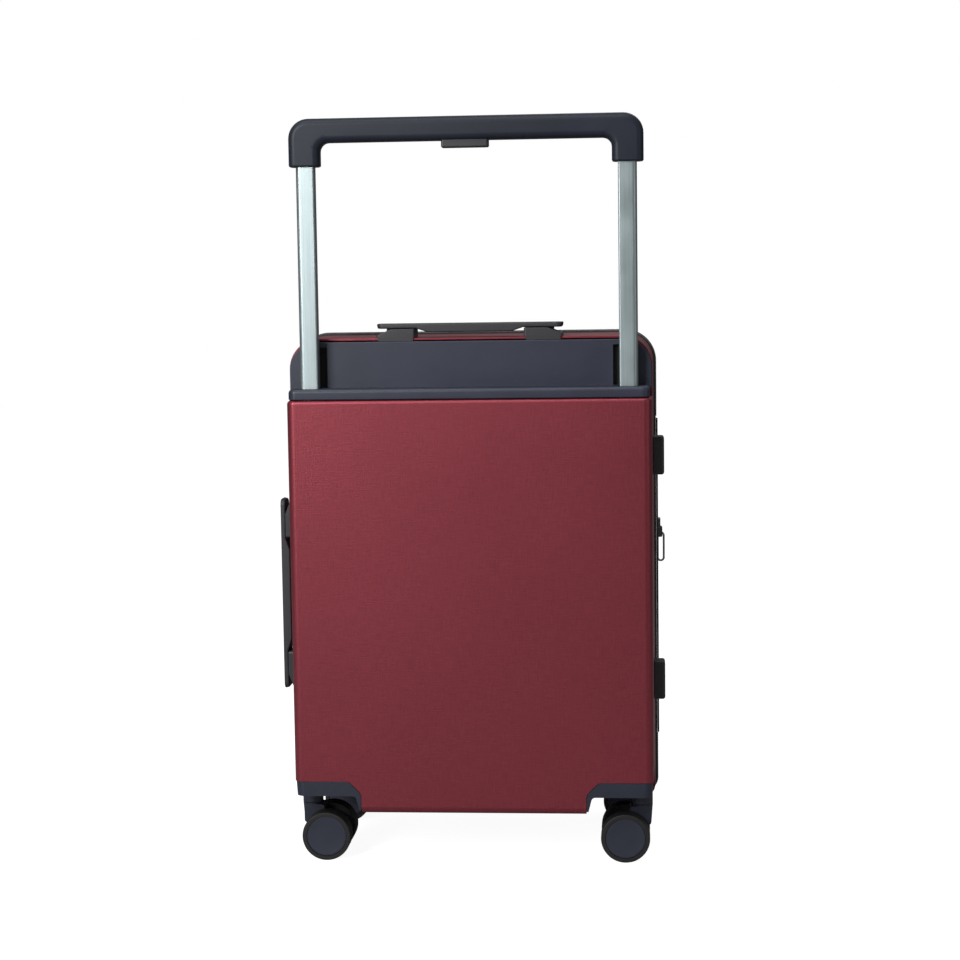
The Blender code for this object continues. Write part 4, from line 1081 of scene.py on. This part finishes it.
foot_low, foot_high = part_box("trolley_foot")
tube_foot = block("trolley_foot_bar", foot_low, foot_high)
cut(tube_foot, block("bar", (-0.1440, foot_low.y - 0.01, foot_low.z + 0.003),
                     (0.1440, foot_high.y + 0.01, 0.12)))
for way in (-1, 1):
    cut(tube_foot, tube_bar("socket", way, 2, foot_low.z + 0.0027, 0.12, TUBE_CLEAR))
ease(tube_foot, 0.0007, 2, 50)
hand_over(tube_foot, "case_back", "charcoal_plastic", charcoal, "trolley_foot")

# ---------------------------------------------------------------- grip and its release
# A two part navy moulding with swept elbows over the tube ends. The button under its middle lifts
# a wire bar whose rods run down the tubes to the latches.
GRIP_BAR = 0.024
ELBOW_WIDTH = 0.0312
ELBOW_OUTER = 0.020
ELBOW_INNER = 0.009
GRIP_ROUND = 0.0072
LEG_END_ROUND = 0.0018
BUTTON_WELL = (0.0240, 0.0070)
GRIP_NAVY = (0.011, 0.014, 0.024)
grip_plastic = moulded("grip_moulding", GRIP_NAVY, (0.036, 0.041, 0.060), 0.46, Specular_IOR_Level=0.26)
grip_low, grip_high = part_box("grip")
rod_low, rod_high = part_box("push_rods")
under_bar = grip_high.z - GRIP_BAR
elbow_x = grip_high.x - ELBOW_WIDTH

grip = block("trolley_grip", (grip_low.x, grip_low.y, under_bar), grip_high)
for way in (-1, 1):
    pick(grip, "FACE", lambda f: True)
    bpy.ops.mesh.bisect(plane_co=(way * elbow_x, 0, 0), plane_no=(1, 0, 0))
    close()
pick(grip, "FACE", lambda f: at(f, "Z", under_bar) and abs(middle_of(f).x) > elbow_x)
bpy.ops.mesh.extrude_region_move(TRANSFORM_OT_translate={"value": (0, 0, grip_low.z - under_bar)})
close()
soften(grip, lambda e: runs(e, "Y") and at(e, "Z", grip_high.z) and abs(middle_of(e).x) > 0.17,
       ELBOW_OUTER, 10)
soften(grip, lambda e: runs(e, "Y") and at(e, "Z", under_bar) and abs(middle_of(e).x) < 0.16,
       ELBOW_INNER, 6)
soften(grip, lambda e: (at(e, "Y", grip_low.y) or at(e, "Y", grip_high.y)) and not at(e, "Z", grip_low.z)
       and e.calc_face_angle(0) > 1.0, GRIP_ROUND, 6, clamp=False)
soften(grip, lambda e: at(e, "Z", grip_low.z) and e.calc_face_angle(0) > 0.8, LEG_END_ROUND, 3)
for way in (-1, 1):
    cut(grip, tube_bar("socket", way, 0, grip_low.z - 0.01, inner_high.z + 0.0005, TUBE_CLEAR))
cut(grip, block("channel", (rod_low.x - 0.0013, tube_y - 0.003, inner_high.z - 0.001),
                (rod_high.x + 0.0013, tube_y + 0.003, rod_high.z + 0.0050)))
well = block("well", (-BUTTON_WELL[0], tube_y - BUTTON_WELL[1], under_bar - 0.004),
             (BUTTON_WELL[0], tube_y + BUTTON_WELL[1], rod_high.z + 0.0050))
soften(well, lambda e: runs(e, "Z"), 0.0025, 4)
cut(grip, well)
hand_over(grip, "trolley_inner", "navy_plastic", grip_plastic, "grip", angle=50)

key_low, key_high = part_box("grip_button")
key = block("release_button", key_low, key_high)
soften(key, lambda e: runs(e, "Z"), 0.0022, 4)
soften(key, lambda e: at(e, "Z", key_low.z), 0.0016, 4)
pick(key, "FACE", lambda f: at(f, "Z", key_low.z))
bpy.ops.mesh.inset(thickness=0.0012)
bpy.ops.transform.translate(value=(0, 0, 0.0004))
close()
hand_over(key, "grip_button", "charcoal_plastic", charcoal, "grip_button")

rods = block("latch_rods", (rod_low.x, rod_low.y, rod_high.z - 0.003), rod_high)
for way in (-1, 1):
    rod = drum("rod", 0.0016, "Z", rod_low.z, rod_high.z - 0.0015, (way * tube_x, tube_y), 16)
    soften(rod, lambda e: at(e, "Z", rod_low.z), 0.0005, 2)
    cut(rods, rod, "UNION")
ease(rods, 0.0004, 2, 60)
hand_over(rods, "grip_button", "steel_hardware", bright_pin, "push_rods")

# ---------------------------------------------------------------- carry handles and their mounts
# A sprung strap moulded round a spring leaf, slim over its mounts and deeper in the hand, whose
# legs slide through two ramped blocks riveted to the shell. One on top, a like one on the side.
STRAP_OVER_MOUNT = 0.0050
STRAP_IN_HAND = 0.0090
LEG_DEPTH = 0.0270
LEG_FROM_END = (0.0335, 0.0095)
MOUNT_FROM_END = (0.0395, 0.0155, 0.0005)
MOUNT_DROP = 0.0060
SEAT_GAP = 0.0003
TURNS = {"top": None, "side": (0, -math.pi / 2, 0)}


def wall_at(which, y):
    """Where the back shell's leaning top or side wall is at a depth."""
    face, rim = (FACE_TOP, rim_top) if which == "top" else (FACE_HALF, rim_half)
    return face + (rim - face) * (y - back_low.y) / (back_high.y - back_low.y)


def handle_site(which):
    """Half length, centre depth, height of the outer face and the move that puts a handle there."""
    low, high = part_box(which + "_handle")
    y = (low.y + high.y) / 2
    if which == "top":
        return high.x, y, high.z, (0, y, high.z)
    return (high.z - low.z) / 2, y, -low.x, (low.x, y, (low.z + high.z) / 2)


def carry_handle(which):
    """Modelled along X with its outer face at height 0, then turned and moved into place."""
    half, _, _, move = handle_site(which)
    node_low, node_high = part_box(which + "_handle")
    deep = (node_high.y - node_low.y) / 2
    strap = block("strap", (-half, -deep, -STRAP_OVER_MOUNT), (half, deep, 0))
    for x in (half - MOUNT_FROM_END[0] - 0.001, half - 0.0525):
        for way in (-1, 1):
            pick(strap, "FACE", lambda f: True)
            bpy.ops.mesh.bisect(plane_co=(way * x, 0, 0), plane_no=(1, 0, 0))
            close()
    pick(strap, "VERT", lambda v: v.co.z < -0.001 and abs(v.co.x) < half - 0.052)
    bpy.ops.transform.translate(value=(0, 0, STRAP_OVER_MOUNT - STRAP_IN_HAND))
    close()
    pick(strap, "VERT", lambda v: v.co.z < -0.001 and abs(v.co.x) > half - 0.001)
    bpy.ops.transform.resize(value=((half - 0.0010) / half, 1, 1), center_override=(0, 0, 0))
    close()
    soften(strap, lambda e: runs(e, "Z") and abs(middle_of(e).x) > half - 0.002, 0.0060, 5)
    soften(strap, lambda e: (at(e, "Z", 0) or middle_of(e).z < -STRAP_OVER_MOUNT + 0.0001)
           and e.calc_face_angle(0) > 1.0, 0.0014, 4)
    pick(strap, "FACE", lambda f: f.normal.z > 0.99)
    bpy.ops.mesh.inset(thickness=0.0032)
    bpy.ops.mesh.inset(thickness=0.0004)
    bpy.ops.transform.translate(value=(0, 0, -0.00035))
    close()
    for way in (-1, 1):
        x = sorted(way * (half - back) for back in LEG_FROM_END)
        leg = block("leg", (x[0], -0.004, -LEG_DEPTH), (x[1], 0.004, -0.003))
        soften(leg, lambda e: runs(e, "Z") or at(e, "Z", -LEG_DEPTH), 0.0010, 2)
        cut(strap, leg, "UNION")
    handle = copy_of(strap, which + "_carry_handle", move, turn=TURNS[which])
    bpy.data.objects.remove(strap)
    return hand_over(handle, which + "_handle", "charcoal_plastic", charcoal, which + "_handle", angle=45)


def handle_mount(which, node, way):
    """A ramped block under one end of a handle, seated on the leaning wall, with a slot for its leg."""
    half, y, out, move = handle_site(which)
    low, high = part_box(node)
    deep = (high.y - low.y) / 2
    near, ramp, far = (way * (half - back) for back in MOUNT_FROM_END)
    x = sorted((near, far))
    seats = [wall_at(which, y + side * deep) + SEAT_GAP - out for side in (-1, 1)]
    top = -STRAP_OVER_MOUNT - SEAT_GAP
    body = block("mount", (x[0], -deep, seats[0]), (x[1], deep, top))
    pick(body, "FACE", lambda f: True)
    bpy.ops.mesh.bisect(plane_co=(ramp, 0, 0), plane_no=(1, 0, 0))
    close()
    pick(body, "VERT", lambda v: abs(v.co.x - far) < 1e-5 and v.co.z > top - 1e-5)
    bpy.ops.transform.translate(value=(0, 0, -MOUNT_DROP))
    close()
    pick(body, "VERT", lambda v: v.co.y > 0 and v.co.z < seats[0] + 1e-5)
    bpy.ops.transform.translate(value=(0, 0, seats[1] - seats[0]))
    close()
    soften(body, lambda e: runs(e, "Z"), 0.0020, 4)
    soften(body, lambda e: middle_of(e).z > top - MOUNT_DROP - 1e-4 and not runs(e, "Z")
           and e.calc_face_angle(0) > 0.2, 0.0008, 3)
    if which == "top":
        lip = block("lip", (x[0] + 0.0020, -deep + 0.0002, low.z - out),
                    (x[1] - 0.0020, -deep + 0.0015, low.z - out + 0.0052))
        cut(body, lip, "UNION")
    legs = sorted(way * (half - back) for back in LEG_FROM_END)
    cut(body, block("slot", (legs[0] - 0.0008, -SLOT_HALF, -0.034), (legs[1] + 0.0008, SLOT_HALF, 0)))
    mount = copy_of(body, node + "_block", move, turn=TURNS[which])
    bpy.data.objects.remove(body)
    return hand_over(mount, "case_back", "charcoal_plastic", charcoal, node, angle=30)


carry_handle("top")
carry_handle("side")
handle_mount("top", "top_handle_mount_left", -1)
handle_mount("top", "top_handle_mount_right", 1)
handle_mount("side", "side_handle_mount_lower", -1)
handle_mount("side", "side_handle_mount_upper", 1)

# ---------------------------------------------------------------- lock
# A three dial combination lock set flush in the side wall beside the zip, with a plated button
# that frees the two zip pulls.
NUMERAL_SIZE = 0.0034
lock_key_low, lock_key_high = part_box("lock_button")
dial_boxes = [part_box("lock_dial_%d" % n) for n in (1, 2, 3)]
lock_y = (lock_low.y + lock_high.y) / 2
dial_x = (dial_boxes[0][0].x + dial_boxes[0][1].x) / 2
dial_radius = (dial_boxes[0][1].x - dial_boxes[0][0].x) / 2

plate = block("lock_plate", lock_low, lock_high)
soften(plate, lambda e: runs(e, "X"), 0.0030, 4)
window = block("window", (-0.2, lock_y - 0.0066, dial_boxes[0][0].z - 0.0008),
               (lock_high.x - 0.0008, lock_y + 0.0066, dial_boxes[2][1].z + 0.0008))
soften(window, lambda e: runs(e, "X"), 0.0010, 3)
cut(plate, window)
opening = block("opening", (-0.2, lock_y - 0.0064, lock_key_low.z - 0.0004),
                (lock_high.x - 0.0020, lock_y + 0.0064, lock_key_high.z + 0.0004))
soften(opening, lambda e: runs(e, "X"), 0.0016, 3)
cut(plate, opening)
cut(plate, drum("spindle", 0.0015, "Z", dial_boxes[0][0].z - 0.0023, dial_boxes[2][1].z + 0.0022,
                (dial_x, lock_y), 20), "UNION")
ease(plate, 0.0004, 2, 60)
hand_over(plate, "case_back", "charcoal_plastic", charcoal, "lock_body")

dial_low, dial_high = dial_boxes[0]
wheel = drum("dial", dial_radius - 0.0003, "Z", dial_low.z, dial_high.z, (dial_x, lock_y), 40)
soften(wheel, lambda e: at(e, "Z", dial_low.z) or at(e, "Z", dial_high.z), 0.0006, 3)
for step in range(10):
    angle = math.radians(36 * step + 18)
    spot = (dial_x + dial_radius * math.cos(angle), lock_y + dial_radius * math.sin(angle))
    cut(wheel, drum("flute", 0.0006, "Z", dial_low.z - 0.001, dial_high.z + 0.001, spot, 10))
cut(wheel, drum("bore", 0.0019, "Z", dial_low.z - 0.001, dial_high.z + 0.001, (dial_x, lock_y), 20))
for digit in range(10):
    deselect()
    bpy.ops.object.text_add()
    numeral = bpy.context.active_object
    numeral.data.body = str(digit)
    numeral.data.size = NUMERAL_SIZE
    numeral.data.resolution_u = 2
    numeral.data.extrude = 0.0002
    numeral.data.align_x = "CENTER"
    numeral.data.align_y = "CENTER"
    bpy.ops.object.convert(target="MESH")
    angle = math.radians(180 + 36 * digit)
    reach = dial_radius - 0.0003
    numeral.matrix_world = (Matrix.Translation((dial_x, lock_y, (dial_low.z + dial_high.z) / 2))
                            @ Matrix.Rotation(angle, 4, "Z") @ Matrix.Translation((reach, 0, 0))
                            @ Matrix.Rotation(math.pi / 2, 4, "Y") @ Matrix.Rotation(math.pi / 2, 4, "Z"))
    settle("numeral_%d" % digit)
    numeral.select_set(True)
    wheel.select_set(True)
    bpy.context.view_layer.objects.active = wheel
    bpy.ops.object.join()
for number, (low, high) in enumerate(dial_boxes, 1):
    dial = copy_of(wheel, "combination_dial_%d" % number, move=(0, 0, low.z - dial_low.z))
    hand_over(dial, "lock_dial_%d" % number, "steel_hardware", gunmetal, "lock_dial_%d" % number)
bpy.data.objects.remove(wheel)

press = block("lock_release", lock_key_low, lock_key_high)
soften(press, lambda e: runs(e, "X"), 0.0013, 3)
soften(press, lambda e: at(e, "X", lock_key_low.x), 0.0004, 3)
pick(press, "FACE", lambda f: at(f, "X", lock_key_low.x))
bpy.ops.mesh.inset(thickness=0.0016)
bpy.ops.transform.translate(value=(0.0003, 0, 0))
close()
hand_over(press, "lock_button", "steel_hardware", gunmetal, "lock_button")

# ---------------------------------------------------------------- zip pulls
# Cast sliders in gunmetal: two on the main zip, whose flat pulls reach into the lock, and one on
# the expansion zip with a long wire ring on a pin between two cheeks.
RING_WIRE = 0.0011
RING_RADIUS = 0.0032
for place in ("upper", "lower"):
    low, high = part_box("main_slider_" + place)
    height = (low.z + high.z) / 2
    slider = block("zip_slider_" + place, (low.x, -0.0085, low.z), high)
    soften(slider, lambda e: runs(e, "X"), 0.0022, 4)
    soften(slider, lambda e: at(e, "X", low.x), 0.0008, 3)
    tab = block("tab", (low.x + 0.0014, low.y, height - 0.0025), (high.x - 0.0007, -0.0070, height + 0.0025))
    soften(tab, lambda e: runs(e, "X") and at(e, "Y", low.y), 0.0022, 5)
    cut(tab, drum("eye", 0.0010, "X", -0.2, -0.18, (low.y + 0.0028, height), 20))
    ease(tab, 0.0003, 2, 60)
    cut(slider, tab, "UNION")
    hand_over(slider, "main_slider_" + place, "steel_hardware", gunmetal, "main_slider_" + place)

low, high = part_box("expansion_slider")
pull_low, pull_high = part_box("expansion_pull")
pin_x, pin_z = high.x - 0.0020, low.z + 0.0025
runner = block("expansion_zip_slider", (low.x, low.y, low.z + 0.0085), (pin_x, high.y, high.z))
soften(runner, lambda e: runs(e, "X"), 0.0022, 4)
soften(runner, lambda e: at(e, "X", pin_x), 0.0010, 3)
for way in (-1, 1):
    y = sorted((growth_seam + way * 0.0017, growth_seam + way * 0.0030))
    cheek = block("cheek", (low.x + 0.0007, y[0], low.z), (high.x, y[1], low.z + 0.0115))
    soften(cheek, lambda e: runs(e, "Y"), 0.0018, 4)
    cut(runner, cheek, "UNION")
cut(runner, drum("pin", 0.0009, "Y", growth_seam - 0.0034, growth_seam + 0.0034, (pin_x, pin_z), 20),
    "UNION")
ease(runner, 0.0003, 2, 60)
hand_over(runner, "expansion_slider", "steel_hardware", gunmetal, "expansion_slider")

deselect()
bpy.ops.mesh.primitive_torus_add(major_radius=RING_RADIUS, minor_radius=RING_WIRE, major_segments=32,
                                 minor_segments=12, rotation=(math.pi / 2, 0, 0),
                                 location=((pull_low.x + pull_high.x) / 2, growth_seam,
                                           pull_high.z - RING_RADIUS - RING_WIRE))
ring = settle("expansion_ring_pull")
ring_top = pull_high.z - RING_RADIUS - RING_WIRE
pick(ring, "VERT", lambda v: v.co.z < ring_top - 1e-5)
bpy.ops.transform.translate(value=(0, 0, pull_low.z - (ring_top - RING_RADIUS - RING_WIRE)))
close()
hand_over(ring, "expansion_pull", "steel_hardware", bright_pin, "expansion_pull", angle=60, weighted=False)

# ---------------------------------------------------------------- side feet
# Two hard rubber blocks on the hinge side, screwed on from inside, that the case lies on when it
# is put on that side. Their outer edges are rounded and a shallow groove runs down each.
for place in ("lower", "upper"):
    node = "side_foot_" + place
    low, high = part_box(node)
    foot = block("resting_foot_" + place, low, high)
    pick(foot, "VERT", lambda v: v.co.x < low.x + 1e-5 and v.co.y > low.y + 1e-4)
    bpy.ops.transform.translate(value=(wall_at("side", high.y) - wall_at("side", low.y), 0, 0))
    close()
    soften(foot, lambda e: at(e, "X", high.x), 0.0026, 5)
    soften(foot, lambda e: runs(e, "X"), 0.0009, 2)
    for groove_y in (low.y + 0.0060, high.y - 0.0060):
        groove = block("groove", (high.x - 0.0007, groove_y - 0.0008, low.z + 0.005),
                       (high.x + 0.01, groove_y + 0.0008, high.z - 0.005))
        cut(foot, groove)
    ease(foot, 0.0003, 2, 60)
    hand_over(foot, "case_back", "charcoal_plastic", charcoal, node)

# ---------------------------------------------------------------- casters
# Four twin wheel casters. A navy fork turns on a stem in the housing's boss, and a riveted axle
# carries a wheel on each side of its web: black treads on navy discs.
WHEEL_EDGE = 0.0011
DISC_RADIUS = 0.0206
DISC_SUNK = 0.0008
HUB_NAVY = (0.020, 0.023, 0.040)
FORK_BOTTOM = 0.0318
FORK_TOP = SEAM - 0.0003
tyre_rubber = moulded("tyre_tread", (0.0045, 0.0045, 0.005), (0.014, 0.014, 0.014), 0.62, 900.0,
                      rub=0.25, depth=0.0001)
hub_plastic = moulded("wheel_disc_moulding", HUB_NAVY, (0.075, 0.080, 0.100), 0.42)
axle_low, axle_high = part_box("caster_axle_back_right")
outer_low, outer_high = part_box("wheel_back_right_outer")
hub_x = (outer_low.x + outer_high.x) / 2
hub_z = (outer_low.z + outer_high.z) / 2
wheel_radius = outer_high.z - hub_z
web_half = swing_y - outer_high.y - 0.0007

deselect()
bpy.ops.mesh.primitive_cone_add(vertices=48, radius1=BOSS_RADIUS - 0.0018, radius2=BOSS_RADIUS,
                                depth=FORK_TOP - FORK_BOTTOM,
                                location=(swing_x, swing_y, (FORK_TOP + FORK_BOTTOM) / 2))
fork = settle("fork")
soften(fork, lambda e: at(e, "Z", FORK_BOTTOM), 0.0030, 4)
web = drum("web", 0.0195, "Y", swing_y - web_half, swing_y + web_half, (hub_x, hub_z), 64)
soften(web, lambda e: at(e, "Y", swing_y - web_half) or at(e, "Y", swing_y + web_half), 0.0008, 2)
cut(fork, web, "UNION")
neck = block("neck", (swing_x - 0.0130, swing_y - web_half, 0.0345),
             (swing_x + 0.0080, swing_y + web_half, SEAM - 0.0018))
soften(neck, lambda e: runs(e, "Y"), 0.0030, 4)
cut(fork, neck, "UNION")
cut(fork, drum("stem", 0.0038, "Z", 0.0500, fork_high.z, (swing_x, swing_y), 32), "UNION")
for way in (-1, 1):
    reach = sorted((swing_y + way * (web_half + 0.0005), swing_y + way * 0.040))
    cut(fork, drum("wheel_room", wheel_radius + 0.0013, "Y", *reach, (hub_x, hub_z), 96))
cut(fork, drum("axle_hole", 0.0031, "Y", swing_y - 0.02, swing_y + 0.02, (hub_x, hub_z), 24))
ease(fork, 0.0004, 2, 50)

axle = drum("axle", axle_high.x - hub_x, "Y", axle_low.y, axle_high.y, (hub_x, hub_z), 32)
soften(axle, lambda e: at(e, "Y", axle_low.y) or at(e, "Y", axle_high.y), 0.0006, 3)

tyre = drum("tyre", wheel_radius, "Y", outer_low.y, outer_high.y, (hub_x, hub_z), 96)
soften(tyre, lambda e: at(e, "Y", outer_low.y) or at(e, "Y", outer_high.y), WHEEL_EDGE, 4)
pick(tyre, "FACE", lambda f: at(f, "Y", outer_low.y))
bpy.ops.mesh.inset(thickness=wheel_radius - WHEEL_EDGE - DISC_RADIUS)
bpy.ops.mesh.extrude_region_move(TRANSFORM_OT_translate={"value": (0, DISC_SUNK + 0.0012, 0)})
close()
cut(tyre, drum("bore", 0.0034, "Y", outer_low.y + 0.004, outer_high.y + 0.01, (hub_x, hub_z), 32))
pick(tyre, "FACE", lambda f: at(f, "Y", outer_high.y))
bpy.ops.mesh.inset(thickness=0.0045)
bpy.ops.transform.translate(value=(0, -0.0012, 0))
close()

disc_face = outer_low.y + DISC_SUNK
disc = drum("disc", DISC_RADIUS - 0.0002, "Y", disc_face, disc_face + 0.0030, (hub_x, hub_z), 96)
soften(disc, lambda e: at(e, "Y", disc_face), 0.0005, 3)
pick(disc, "FACE", lambda f: at(f, "Y", disc_face))
bpy.ops.mesh.inset(thickness=0.0032)
bpy.ops.mesh.inset(thickness=0.0005)
bpy.ops.transform.translate(value=(0, 0.0004, 0))
bpy.ops.mesh.inset(thickness=0.0110)
bpy.ops.mesh.inset(thickness=0.0004)
bpy.ops.transform.translate(value=(0, -0.0003, 0))
close()

for half, end in (("back", -1), ("front", 1)):
    for side, way in (("left", -1), ("right", 1)):
        label = half + "_" + side
        flip = ("X" if way < 0 else "") + ("Y" if end > 0 else "")
        made = copy_of(fork, "swivel_fork_" + label, flip=flip)
        hand_over(made, "caster_" + label, "navy_plastic", housing_plastic, "caster_fork_" + label, angle=40)
        made = copy_of(axle, "riveted_axle_" + label, flip=flip)
        hand_over(made, "caster_" + label, "steel_hardware", bright_pin, "caster_axle_" + label)
        for place in ("outer", "inner"):
            node = "wheel_%s_%s" % (label, place)
            node_low, node_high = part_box(node)
            over = "Y" if (place == "outer") == (end > 0) else ""
            modelled = (outer_low.y + outer_high.y) / 2 * (-1 if over else 1)
            move = (0, (node_low.y + node_high.y) / 2 - modelled, 0)
            flip = ("X" if way < 0 else "") + over
            tread = copy_of(tyre, "tread_%s_%s" % (label, place), move, flip)
            hand_over(tread, node, "wheel_tyre", tyre_rubber, node, angle=40)
            face = copy_of(disc, "disc_%s_%s" % (label, place), move, flip)
            hand_over(face, node, "wheel_tyre", hub_plastic, angle=40)
for source in (fork, axle, tyre, disc):
    bpy.data.objects.remove(source)

# ---------------------------------------------------------------- final view layer update
bpy.context.view_layer.update()
